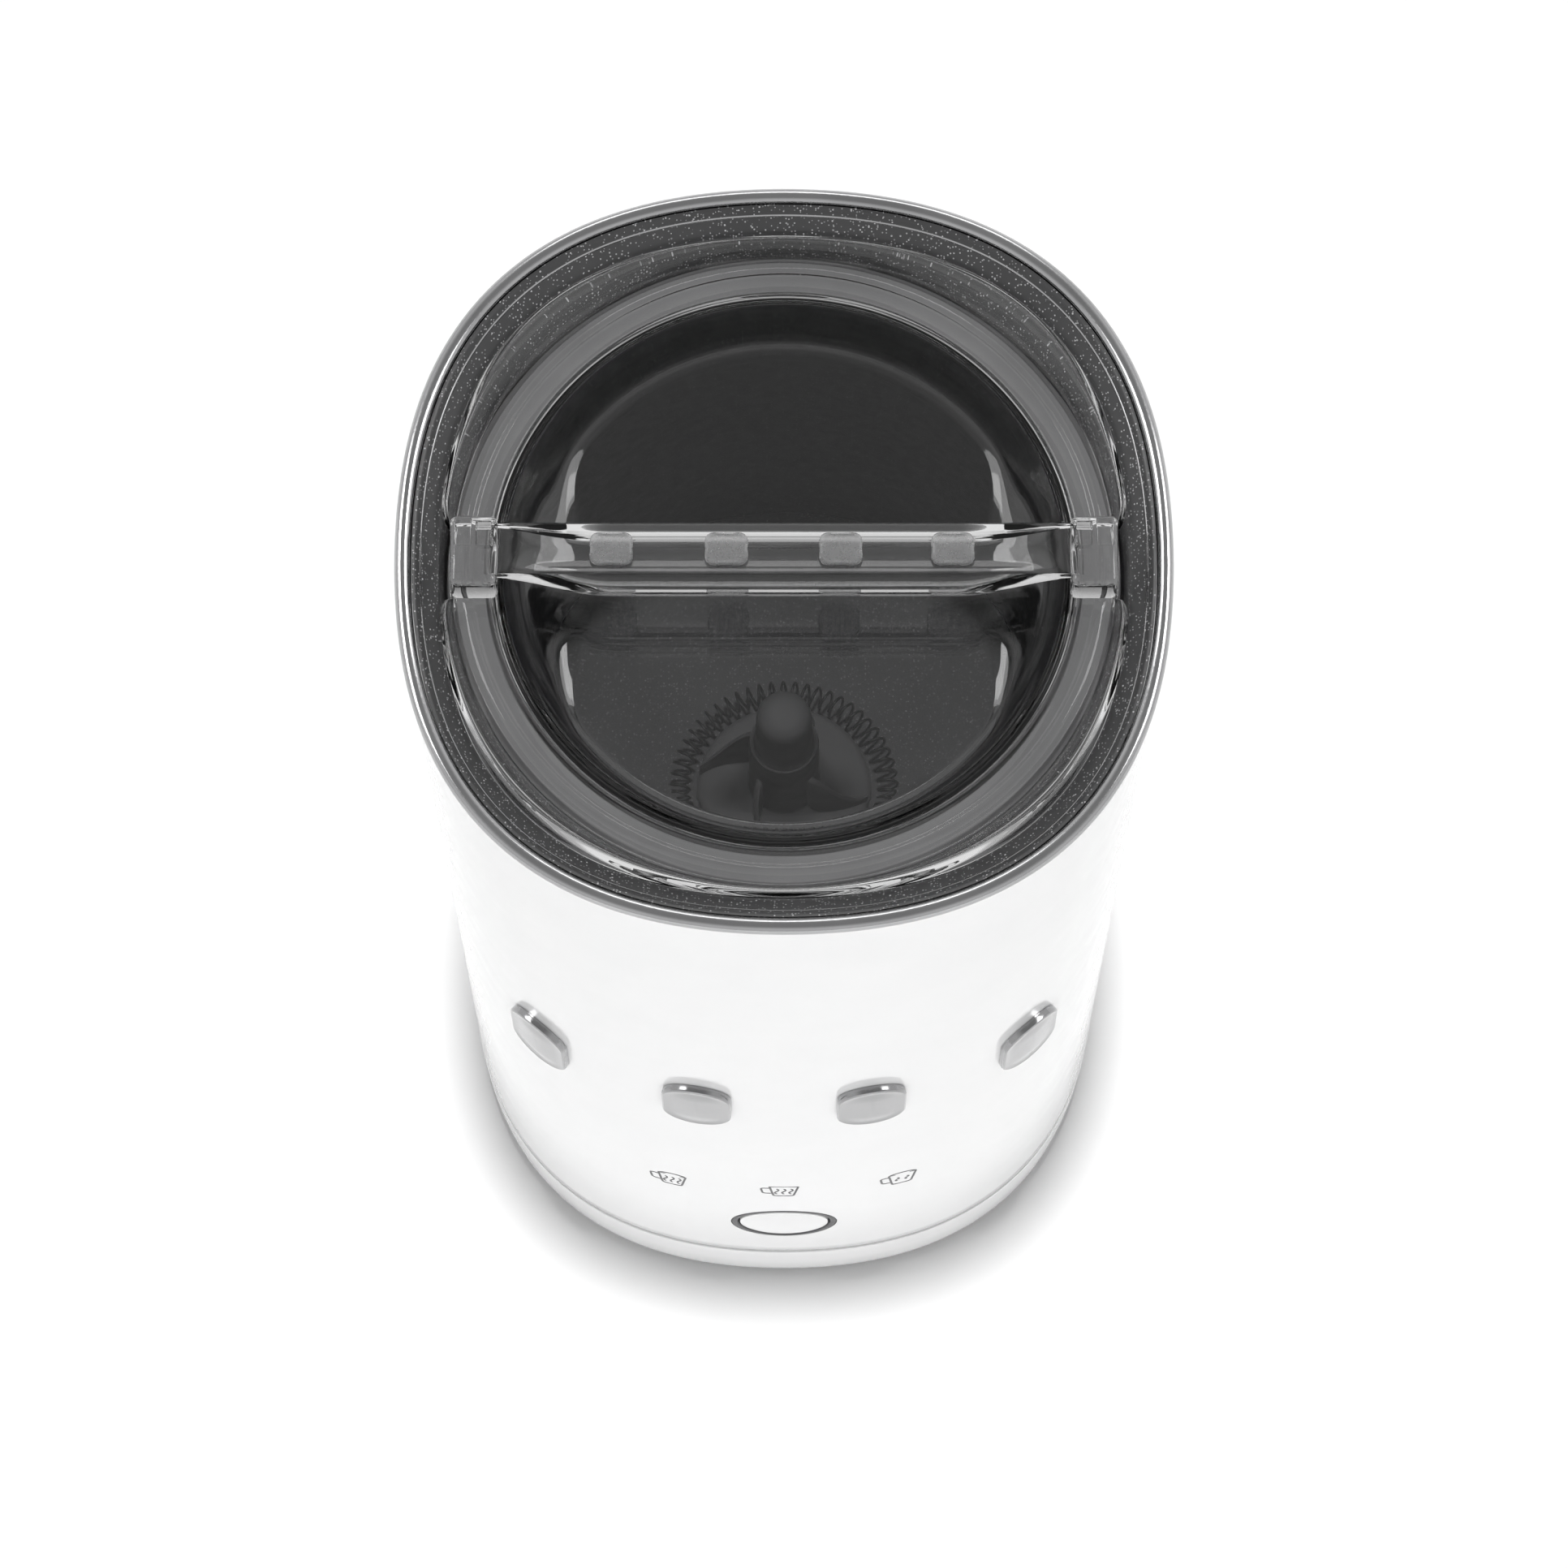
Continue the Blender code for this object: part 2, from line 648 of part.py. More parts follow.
def build_badges(parent):
    """Four plain upright pills on the front, each standing off the surface it faces."""
    for number, degrees in enumerate(BADGE_ANGLES, 1):
        angle = math.radians(degrees)
        step = 0.01
        ahead = plan_point(body_radius(BADGE_Z), 0, angle + step)
        behind = plan_point(body_radius(BADGE_Z), 0, angle - step)
        tangent = (ahead - behind).normalized()
        outward = Vector((tangent.y, -tangent.x, 0))
        lean = BODY_TAPER * BADGE_HEIGHT / 2
        stand_off = GAP + lean + BADGE_DEPTH / 2
        curve = pill_curve(f"front_badge_{number}", BADGE_WIDTH, BADGE_HEIGHT, BADGE_DEPTH)
        piece = bpy.data.objects.new(f"front_badge_{number}", curve)
        piece.parent = parent
        frame = Matrix((tangent, (0, 0, 1), outward)).transposed().to_4x4()
        place = plan_point(body_radius(BADGE_Z), BADGE_Z, angle) + outward * stand_off
        piece.matrix_local = Matrix.Translation(place) @ frame
        MODEL.objects.link(piece)
        paint(piece, "polished_steel")


def pill_curve(name, width, height, depth):
    """A flat pill outline in the curve's own XY plane, centred and extruded to its depth."""
    curve = bpy.data.curves.new(name, "CURVE")
    curve.dimensions = "2D"
    curve.fill_mode = "BOTH"
    curve.extrude = depth / 2
    radius = width / 2
    straight = height / 2 - radius
    arc = [math.pi * step / 8 for step in range(9)]
    upper = [(radius * math.cos(a), straight + radius * math.sin(a)) for a in arc]
    lower = [(-x, -y) for x, y in upper]
    spline = curve.splines.new("POLY")
    spline.points.add(len(upper) + len(lower) - 1)
    for point, (x, y) in zip(spline.points, upper + lower):
        point.co = (x, y, 0, 1)
    spline.use_cyclic_u = True
    return curve


def build_frother(base):
    body = group("frother", parent=base)
    build_outer_shell(body)
    build_bottom_cover(body)
    build_socket(body)
    build_rim(body)
    build_jug(body)
    build_heater(body)
    build_motor(body)
    build_boards(body)
    build_bezel(body)
    build_badges(body)
    return body


# ---------------------------------------------------------------- magnetic drive

CARRIER_LOW = 77.0 * MM
CARRIER_HIGH = 86.0 * MM
MAGNET_SPACING = 9.0 * MM
MAGNET_RADIUS = 4.0 * MM


def build_drive(body):
    drive = group("drive_axis", (0, 0, 0), body)
    cylinder("motor_shaft", SHAFT_RADIUS, 62.0 * MM + GAP, 80.5 * MM, "polished_steel", drive,
             segments=12)
    carrier = turned("magnet_carrier", [
        (0, CARRIER_HIGH),
        (14.5 * MM, CARRIER_HIGH),
        (15.0 * MM, CARRIER_HIGH - 0.5 * MM),
        (15.0 * MM, 79.5 * MM),
        (14.0 * MM, 79.5 * MM),
        (4.0 * MM, 79.0 * MM),
        (4.0 * MM, CARRIER_LOW),
        (SHAFT_RADIUS + GAP, CARRIER_LOW),
        (SHAFT_RADIUS + GAP, 80.5 * MM + GAP),
        (0, 80.5 * MM + GAP),
    ], "black_plastic", drive, steps=24)
    for number, side in enumerate((-1, 1), 1):
        place = (side * MAGNET_SPACING, 0)
        cut(carrier, round_cutter(f"carrier_pocket_{number}", MAGNET_RADIUS + GAP, 81.5 * MM, 90 * MM,
                                  place))
        cylinder(f"drive_magnet_{number}", MAGNET_RADIUS, 81.5 * MM + GAP, CARRIER_HIGH - 0.2 * MM,
                 "magnet", drive, place, 20)


# ---------------------------------------------------------------- whisk

def build_whisk(body):
    """Whisk that sits on the jug's pivot and is turned by the magnets below."""
    whisk = group("whisk_axis", (0, 0, 0), body)
    low = JUG_FLOOR_Z + 0.8 * MM
    bore = 1.5 * MM + 0.35 * MM
    bore_top = JUG_FLOOR_Z + 22.6 * MM
    puck_high = low + 5.2 * MM
    rotor = turned("whisk_rotor", [
        (0, WHISK_TOP_Z),
        (2.6 * MM, WHISK_TOP_Z - 0.4 * MM),
        (3.9 * MM, WHISK_TOP_Z - 1.8 * MM),
        (4.2 * MM, WHISK_SHOULDER_Z + 1.0 * MM),
        (4.9 * MM, WHISK_SHOULDER_Z),
        (5.0 * MM, puck_high + 3.0 * MM),
        (6.5 * MM, puck_high + 0.8 * MM),
        (9.0 * MM, puck_high),
        (12.6 * MM, puck_high - 1.2 * MM),
        (12.6 * MM, low),
        (bore, low),
        (bore, bore_top),
        (0, bore_top),
    ], "black_plastic", whisk, steps=24)
    for number, side in enumerate((-1, 1), 1):
        place = (side * MAGNET_SPACING * 0.88, 0)
        cut(rotor, round_cutter(f"rotor_pocket_{number}", 3.6 * MM, low - 1 * MM, low + 3.4 * MM, place, 16))
        cylinder(f"whisk_magnet_{number}", 3.3 * MM, low + 0.1 * MM, low + 3.1 * MM, "magnet", whisk,
                 place, 16)
    tube = 1.7 * MM
    turn = [2 * math.pi * step / 8 for step in range(8)]
    turned("whisk_coil", [(WHISK_COIL_RADIUS + tube * math.cos(a), low + 3.4 * MM - tube * math.sin(a))
                          for a in turn], "polished_steel", whisk, steps=36, closed=True)


# ---------------------------------------------------------------- start button

def build_button(body):
    button = group("button_axis", (0, BUTTON_FACE, BUTTON_Z), body)
    stem_end = (BOARD_FRONT - GAP - 5.6 * MM) - BUTTON_TRAVEL - GAP
    stem_length = stem_end - BUTTON_FACE
    cap = turned("start_button", [
        (0, 0.1 * MM),
        (BUTTON_RADIUS - 0.3 * MM, 0.1 * MM),
        (BUTTON_RADIUS, -0.2 * MM),
        (BUTTON_RADIUS, -2.5 * MM),
        (2.0 * MM, -2.5 * MM),
        (2.0 * MM, -stem_length),
        (0, -stem_length),
    ], "white_gloss", button, steps=32)
    facing_front(cap)


# ---------------------------------------------------------------- lid

def build_lid_shell(parent):
    """Clear lid: two crescent flanges, a ring ledge and a deep round recess for the fingers."""
    r = RIM_RADIUS
    floor = RIM_Z - RECESS_DROP
    ledge = RIM_Z - LEDGE_DROP
    flange = RIM_Z - FLANGE_DROP
    shell = loft("lid_shell", [
        (0, floor, 0),
        (0.650 * r, floor, 0),
        (0.680 * r, floor + 1.2 * MM, 0),
        (0.690 * r, floor + 3.0 * MM, 0),
        (RECESS_RADIUS, ledge + 0.2 * MM, 0),
        (0.712 * r, ledge + 0.2 * MM, 0),
        (0.730 * r, ledge - 0.2 * MM, 0),
        (LEDGE_RADIUS, ledge, 0),
        (0.848 * r, ledge + 0.8 * MM, 0.35),
        (0.872 * r, flange - 0.6 * MM, 0.8),
        (0.884 * r, flange, 1),
        (FLANGE_SCALE * r, flange - 0.4 * MM, 1),
        (FLANGE_SCALE * r, flange - 1.0 * MM, 1),
        (0.876 * r, flange - 1.9 * MM, 0.8),
        (0.848 * r, ledge - 0.8 * MM, 0.3),
        (0.828 * r, ledge - LID_WALL, 0),
        (0.797 * r, ledge - LID_WALL, 0),
        (0.797 * r, ledge - 6.0 * MM, 0),
        (0.765 * r, ledge - 6.0 * MM, 0),
        (0.765 * r, ledge - LID_WALL, 0),
        (0.740 * r, ledge - LID_WALL, 0),
        (0.724 * r, floor + 3.0 * MM, 0),
        (0.700 * r, floor - 1.0 * MM, 0),
        (0.655 * r, floor - LID_WALL, 0),
        (0, floor - LID_WALL, 0),
    ], "clear_plastic", parent)
    for name, side in (("notch_left", -1), ("notch_right", 1)):
        width = 10 * MM
        notch = box(name, (width, 10.6 * MM, 20 * MM),
                    (side * (LUG_OUTER + GAP + width / 2), 0, RIM_Z), "grey_plastic", None)
        notch_top = notch.modifiers.new("round", "BEVEL")
        notch_top.width = 2.0 * MM
        notch_top.segments = 3
        notch_top.limit_method = "ANGLE"
        cut(shell, notch)


def build_lid_handle(parent):
    """Bar across the recess with a belly to grip, standing on a lug at each end."""
    end_depth = 2.2 * MM
    half = BAR_HALF_LENGTH + 1.5 * MM
    ramp = 0.42 * half
    ramp_steps = 6
    rise = []
    for step in range(ramp_steps + 1):
        share = step / ramp_steps
        swell = share * share * (3 - 2 * share)
        rise.append((half - ramp * share, -end_depth - (BAR_BELLY - end_depth) * swell))
    fall = [(-x, z) for x, z in reversed(rise)]
    outline = [(-half, 0), (half, 0)] + rise + fall
    curve = bpy.data.curves.new("bar_outline", "CURVE")
    curve.dimensions = "2D"
    curve.fill_mode = "BOTH"
    curve.extrude = BAR_DEPTH / 2
    spline = curve.splines.new("POLY")
    spline.points.add(len(outline) - 1)
    for point, (x, z) in zip(spline.points, outline):
        point.co = (x, z, 0, 1)
    spline.use_cyclic_u = True
    flat = bpy.data.objects.new("bar_outline", curve)
    flat.location = (0, 0, BAR_TOP)
    flat.rotation_euler = (math.radians(90), 0, 0)
    MODEL.objects.link(flat)
    bar = solid_from_curve(flat, "lid_handle", "clear_plastic", parent)
    foot = RIM_Z - LEDGE_DROP + 0.2 * MM + 0.3 * MM
    lug_height = BAR_TOP - 0.3 * MM - foot
    for name, side in (("lug_left", -1), ("lug_right", 1)):
        width = LUG_OUTER - BAR_HALF_LENGTH
        lug = box(name, (width, 2 * LUG_HALF_DEPTH, lug_height),
                  (side * (LUG_OUTER - width / 2), 0, foot + lug_height / 2), "clear_plastic", None)
        join(bar, lug)
        window = box(name + "_window", (2.2 * MM, 3.6 * MM, 3.0 * MM),
                     (side * (BAR_HALF_LENGTH + 1.7 * MM), 2.2 * MM, BAR_TOP), "clear_plastic", None)
        cut(bar, window)


def solid_from_curve(source, name, finish, parent):
    """Replace a curve object by a welded mesh of the same shape in the same place."""
    bpy.context.view_layer.update()
    graph = bpy.context.evaluated_depsgraph_get()
    mesh = bpy.data.meshes.new_from_object(source.evaluated_get(graph))
    bm = bmesh.new()
    bm.from_mesh(mesh)
    bmesh.ops.remove_doubles(bm, verts=bm.verts, dist=0.00001)
    bm.to_mesh(mesh)
    bm.free()
    mesh.name = name
    piece = bpy.data.objects.new(name, mesh)
    piece.matrix_world = source.matrix_world.copy()
    piece.parent = parent
    MODEL.objects.link(piece)
    paint(piece, finish)
    bpy.data.objects.remove(source, do_unlink=True)
    return piece


def build_lid(body):
    lid = group("lid_axis", (0, 0, 0), body)
    build_lid_shell(lid)
    build_lid_handle(lid)
    low = RIM_Z - LEDGE_DROP - LID_WALL - GAP
    loft("lid_seal", [
        (0.840 * RIM_RADIUS, low - 1.0 * MM, 0),
        (0.840 * RIM_RADIUS, low - 2.0 * MM, 0),
        (0.803 * RIM_RADIUS, low - 3.2 * MM, 0),
        (0.803 * RIM_RADIUS, low, 0),
        (0.825 * RIM_RADIUS, low, 0),
    ], "silicone", lid)


def build_all():
    base = build_power_base()
    body = build_frother(base)
    build_drive(body)
    build_whisk(body)
    build_button(body)
    build_lid(body)


build_all()
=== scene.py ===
"""Looks of the compact milk frother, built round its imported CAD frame."""

import math

import bpy
import bmesh
from mathutils import Matrix, Vector


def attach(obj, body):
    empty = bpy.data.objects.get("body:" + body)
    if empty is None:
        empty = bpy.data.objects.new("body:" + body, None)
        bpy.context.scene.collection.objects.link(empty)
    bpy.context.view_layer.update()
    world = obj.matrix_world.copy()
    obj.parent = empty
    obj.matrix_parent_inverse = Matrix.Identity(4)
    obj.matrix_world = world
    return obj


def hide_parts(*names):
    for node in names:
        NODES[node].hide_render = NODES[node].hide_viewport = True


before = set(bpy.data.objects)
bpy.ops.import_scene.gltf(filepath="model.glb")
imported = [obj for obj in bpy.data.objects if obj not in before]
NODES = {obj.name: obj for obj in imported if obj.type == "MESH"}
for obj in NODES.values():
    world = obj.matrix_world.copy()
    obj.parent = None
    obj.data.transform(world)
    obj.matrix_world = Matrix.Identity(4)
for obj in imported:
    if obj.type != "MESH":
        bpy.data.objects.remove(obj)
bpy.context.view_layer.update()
MM = 0.001

# The same plan, heights and sizes as the CAD
RIM_RADIUS = 52.0 * MM
OBLONG = 0.0073
SQUARENESS = 0.0269
RIM_Z = 192.6 * MM
SEAM_Z = 15.8 * MM
SEAM_GAP = 1.0 * MM
BASE_EDGE_Z = 1.0 * MM
JUG_FLOOR_Z = 88.5 * MM
BUTTON_Z = 34.2 * MM
BADGE_Z = 103.0 * MM
LAMP_Z = 54.1 * MM
BODY_TOP_SCALE = 0.987
BODY_TAPER = 0.010
GAP = 0.3 * MM
SHELL_WALL = 2.2 * MM
JUG_WALL = 1.0 * MM
RIM_BEAD = 1.1 * MM
PILLAR_RADIUS = 12.5 * MM
BUTTON_RADIUS = 6.6 * MM
BEZEL_RADIUS = 7.8 * MM
BADGE_ANGLES = (-41.0, -14.0, 14.0, 41.0)
BADGE_WIDTH = 9.6 * MM
BADGE_HEIGHT = 17.0 * MM
BAR_TOP = 195.3 * MM
WHISK_TOP_Z = 128.0 * MM
WHISK_SHOULDER_Z = 114.6 * MM
WHISK_COIL_RADIUS = 15.0 * MM
LEDGE_Z = RIM_Z - 4.4 * MM
RECESS_Z = RIM_Z - 12.8 * MM
BASE_TOP = SEAM_Z - SEAM_GAP / 2
LAND_TOP = SEAM_Z + SEAM_GAP / 2 + 0.2 * MM
BODY_LOW = SEAM_Z + SEAM_GAP / 2
BODY_HIGH = RIM_Z - RIM_BEAD - GAP
# Steps round the body
FINE = 240


# ---------------------------------------------------------------- shape helpers

def plan_factor(angle, square=1.0):
    """Radius factor of the soft-square plan; the angle is measured from the front."""
    return 1 + square * (OBLONG * math.cos(2 * angle) - SQUARENESS * math.cos(4 * angle))


def plan_point(radius, z, angle):
    """The point of the soft-square plan at a radius, height and angle from the front."""
    reach = radius * plan_factor(angle)
    return Vector((reach * math.sin(angle), -reach * math.cos(angle), z))


def body_radius(z):
    """Outer radius of the tapering body at a height."""
    return RIM_RADIUS * (BODY_TOP_SCALE - BODY_TAPER * (RIM_Z - z) / RIM_RADIUS)


def body_normal(angle):
    """Outward direction of the body's side wall at an angle from the front."""
    step = 0.01
    ahead = plan_point(RIM_RADIUS, 0, angle + step)
    behind = plan_point(RIM_RADIUS, 0, angle - step)
    tangent = (ahead - behind).normalized()
    return Vector((tangent.y, -tangent.x, 0))


def on_front(x, z, proud=0.0):
    """The point of the body's front at x and z, moved outward by proud."""
    radius = body_radius(z)
    angle = 0.0
    for _ in range(6):
        angle = math.asin(x / (radius * plan_factor(angle)))
    return plan_point(radius, z, angle) + body_normal(angle) * proud


def smooth_step(share):
    """Ease from 0 to 1, level at both ends."""
    share = min(1.0, max(0.0, share))
    return share * share * (3 - 2 * share)


def through(points, steps=4):
    """A smooth line through the points, which are tuples of any equal length."""
    line = []
    count = len(points)
    for index in range(count - 1):
        before = points[max(index - 1, 0)]
        start, end = points[index], points[index + 1]
        after = points[min(index + 2, count - 1)]
        for step in range(steps):
            t = step / steps
            line.append(tuple(
                0.5 * (2 * b + (c - a) * t + (2 * a - 5 * b + 4 * c - d) * t * t
                       + (3 * b - a - 3 * c + d) * t * t * t)
                for a, b, c, d in zip(before, start, end, after)))
    line.append(points[-1])
    return line


def offset(points, distance):
    """The same open line moved to its right by a distance; it starts on the axis."""
    line = []
    for index, point in enumerate(points):
        before = Vector(points[max(index - 1, 0)])
        after = Vector(points[min(index + 1, len(points) - 1)])
        along = (after - before).normalized()
        line.append((0.0 if index == 0 else point[0] + along.y * distance, point[1] - along.x * distance))
    return line


def rounded(points, radius, steps=4, closed=True):
    """The same outline with every corner cut by a curve that starts radius away from it."""
    line = []
    count = len(points)
    for index, corner in enumerate(points):
        if not closed and index in (0, count - 1):
            line.append(corner)
            continue
        here = Vector(corner)
        before, after = Vector(points[index - 1]), Vector(points[(index + 1) % count])
        reach = min(radius, (before - here).length * 0.45, (after - here).length * 0.45)
        start = here + (before - here).normalized() * reach
        end = here + (after - here).normalized() * reach
        for step in range(steps + 1):
            t = step / steps
            line.append(tuple((1 - t) ** 2 * start + 2 * t * (1 - t) * here + t * t * end))
    return line


def piece_from(name, bm, sharp=40.0):
    """Make an object of a bmesh; edges steeper than sharp, in degrees, stay crisp."""
    bmesh.ops.recalc_face_normals(bm, faces=bm.faces)
    mesh = bpy.data.meshes.new(name)
    bm.to_mesh(mesh)
    bm.free()
    mesh.shade_smooth()
    mesh.set_sharp_from_angle(angle=math.radians(sharp))
    piece = bpy.data.objects.new(name, mesh)
    bpy.context.scene.collection.objects.link(piece)
    return piece


def sweep(name, section, segments=FINE, sharp=40.0):
    """Turn a section round the Z axis. section(angle) gives (reach, z) points, and may change with
    the angle. Points at reach 0 are shared; without any, the section is a closed loop."""
    bm = bmesh.new()
    shared = {}
    columns = []
    for step in range(segments):
        angle = 2 * math.pi * step / segments
        column = []
        for index, (reach, z) in enumerate(section(angle)):
            if reach == 0:
                if index not in shared:
                    shared[index] = bm.verts.new((0, 0, z))
                column.append(shared[index])
            else:
                column.append(bm.verts.new((reach * math.sin(angle), -reach * math.cos(angle), z)))
        columns.append(column)
    for left, right in zip(columns, columns[1:] + columns[:1]):
        count = len(left)
        for index in range(count - 1 if shared else count):
            after = (index + 1) % count
            corners = []
            for vert in (left[index], left[after], right[after], right[index]):
                if vert not in corners:
                    corners.append(vert)
            if len(corners) > 2:
                bm.faces.new(corners)
    return piece_from(name, bm, sharp)


def loft(name, profile):
    """Sweep a profile of (radius, z, squareness) points round the soft-square plan."""
    def section(angle):
        return [(radius * plan_factor(angle, square), z) for radius, z, square in profile]
    return sweep(name, section)


def turned(name, profile, segments=96):
    """Turn a profile of (radius, z) points round the Z axis."""
    return sweep(name, lambda angle: profile, segments)


def skin(bm, rings):
    """Faces between successive closed rings of vertices."""
    for first, second in zip(rings, rings[1:]):
        count = len(first)
        for index in range(count):
            after = (index + 1) % count
            bm.faces.new((first[index], first[after], second[after], second[index]))


def block(name, low, high, bevel, segments=3):
    """A box between two corners, with rounded edges."""
    bm = bmesh.new()
    bmesh.ops.create_cube(bm, size=1.0)
    low, high = Vector(low), Vector(high)
    bmesh.ops.scale(bm, vec=high - low, verts=bm.verts)
    bmesh.ops.translate(bm, vec=(low + high) / 2, verts=bm.verts)
    bmesh.ops.bevel(bm, geom=bm.edges, offset=bevel, segments=segments, profile=0.5, affect="EDGES")
    return piece_from(name, bm)


def rod(name, radius, low, high, segments=64):
    """A solid cylinder on the Z axis."""
    return turned(name, [(0, low), (radius, low), (radius, high), (0, high)], segments)


def combine(piece, tool, operation):
    """Apply a boolean to the piece and remove the tool."""
    change = piece.modifiers.new("combine", "BOOLEAN")
    change.object = tool
    change.operation = operation
    change.solver = "EXACT"
    bpy.context.view_layer.update()
    graph = bpy.context.evaluated_depsgraph_get()
    mesh = bpy.data.meshes.new_from_object(piece.evaluated_get(graph))
    piece.modifiers.clear()
    piece.data = mesh
    bpy.data.objects.remove(tool, do_unlink=True)
    mesh.shade_smooth()
    mesh.set_sharp_from_angle(angle=math.radians(40))


def aim_front(piece, x, z):
    """Stand a piece made round the Z axis on the body's front, facing -Y."""
    piece.data.transform(Matrix.Translation(on_front(x, z)) @ Matrix.Rotation(math.pi / 2, 4, "X"))


# ---------------------------------------------------------------- materials

class Nodes:
    """Short way to build a node material round its Principled shader."""

    def __init__(self, name):
        self.material = bpy.data.materials.new(name)
        self.material.use_nodes = True
        self.tree = self.material.node_tree
        self.shader = self.tree.nodes["Principled BSDF"]
        self.place = self.add("ShaderNodeTexCoord").outputs["Object"]

    def add(self, kind, **settings):
        node = self.tree.nodes.new(kind)
        for key, value in settings.items():
            setattr(node, key, value)
        return node

    def link(self, source, target):
        self.tree.links.new(source, target)

    def set(self, **values):
        for key, value in values.items():
            self.shader.inputs[key.replace("_", " ")].default_value = value

    def noise(self, scale, detail, vector=None):
        node = self.add("ShaderNodeTexNoise")
        node.inputs["Scale"].default_value = scale
        node.inputs["Detail"].default_value = detail
        self.link(vector or self.place, node.inputs["Vector"])
        return node.outputs["Fac"]

    def spread(self, value, low, high, start=0.0, end=1.0):
        """The value moved, in a straight line, from start..end to low..high."""
        node = self.add("ShaderNodeMapRange")
        node.inputs["From Min"].default_value = start
        node.inputs["From Max"].default_value = end
        node.inputs["To Min"].default_value = low
        node.inputs["To Max"].default_value = high
        self.link(value, node.inputs["Value"])
        return node.outputs["Result"]

    def ramp(self, value, stops):
        node = self.add("ShaderNodeValToRGB")
        elements = node.color_ramp.elements
        while len(elements) < len(stops):
            elements.new(0.5)
        for element, (position, colour) in zip(elements, stops):
            element.position = position
            element.color = (*colour, 1.0)
        self.link(value, node.inputs["Fac"])
        return node.outputs["Color"]

    def mix(self, factor, first, second):
        """Mix two colours or colour outputs."""
        node = self.add("ShaderNodeMix", data_type="RGBA")
        self.link(factor, node.inputs["Factor"])
        for socket, value in ((node.inputs[6], first), (node.inputs[7], second)):
            if isinstance(value, tuple):
                socket.default_value = (*value, 1.0)
            else:
                self.link(value, socket)
        return node.outputs[2]

    def maths(self, operation, first, second=0.0):
        node = self.add("ShaderNodeMath", operation=operation)
        for socket, value in zip(node.inputs, (first, second)):
            if isinstance(value, (int, float)):
                socket.default_value = value
            else:
                self.link(value, socket)
        return node.outputs["Value"]

    def bump(self, height, strength, distance):
        node = self.add("ShaderNodeBump")
        node.inputs["Strength"].default_value = strength
        node.inputs["Distance"].default_value = distance
        self.link(height, node.inputs["Height"])
        self.link(node.outputs["Normal"], self.shader.inputs["Normal"])

    def colour(self, output):
        self.link(output, self.shader.inputs["Base Color"])

    def roughness(self, output):
        self.link(output, self.shader.inputs["Roughness"])


def moulded(name, dark, light, rough, grain, texture):
    """Moulded plastic or rubber: faint colour drift, uneven gloss and a fine surface texture."""
    nodes = Nodes(name)
    nodes.colour(nodes.ramp(nodes.noise(60, 3), [(0.35, dark), (0.65, light)]))
    nodes.roughness(nodes.spread(nodes.noise(220, 4), rough[0], rough[1], 0.3, 0.7))
    nodes.bump(nodes.noise(grain, 2), texture, 0.0001)
    return nodes


def white_gloss():
    nodes = moulded("white_gloss", (0.795, 0.797, 0.801), (0.812, 0.813, 0.816), (0.10, 0.15), 900,
                    0.012)
    nodes.set(Coat_Weight=0.25, Coat_Roughness=0.06)
    return nodes.material


def polished_steel(name="polished_steel", low=0.40, high=0.46):
    """Polished steel with fine turning marks that follow the rim."""
    nodes = Nodes(name)
    split = nodes.add("ShaderNodeSeparateXYZ")
    nodes.link(nodes.place, split.inputs["Vector"])
    turn = nodes.maths("ARCTAN2", split.outputs["X"], split.outputs["Y"])
    far = nodes.maths("SQRT", nodes.maths("ADD", nodes.maths("POWER", split.outputs["X"], 2.0),
                                          nodes.maths("POWER", split.outputs["Y"], 2.0)))
    ring = nodes.add("ShaderNodeCombineXYZ")
    stretch = 0.02
    nodes.link(nodes.maths("MULTIPLY", turn, stretch), ring.inputs["X"])
    nodes.link(far, ring.inputs["Y"])
    nodes.link(split.outputs["Z"], ring.inputs["Z"])
    lines = nodes.noise(5200, 4, ring.outputs["Vector"])
    cool = 0.005
    nodes.colour(nodes.ramp(nodes.noise(90, 2), [(0.3, (low, low, low + cool)),
                                                 (0.7, (high, high, high + cool))]))
    nodes.roughness(nodes.spread(lines, 0.10, 0.20, 0.35, 0.65))
    nodes.bump(lines, 0.04, 0.0001)
    nodes.set(Metallic=1.0)
    return nodes.material


def metal(name, dark, light, rough):
    """Metal with a faint colour drift, an uneven gloss and a fine grain."""
    grain = 700
    nodes = Nodes(name)
    nodes.colour(nodes.ramp(nodes.noise(120, 3), [(0.35, dark), (0.65, light)]))
    nodes.roughness(nodes.spread(nodes.noise(grain, 4), rough[0], rough[1], 0.35, 0.65))
    nodes.bump(nodes.noise(grain * 3, 3), 0.05, 0.0001)
    nodes.set(Metallic=1.0)
    return nodes.material


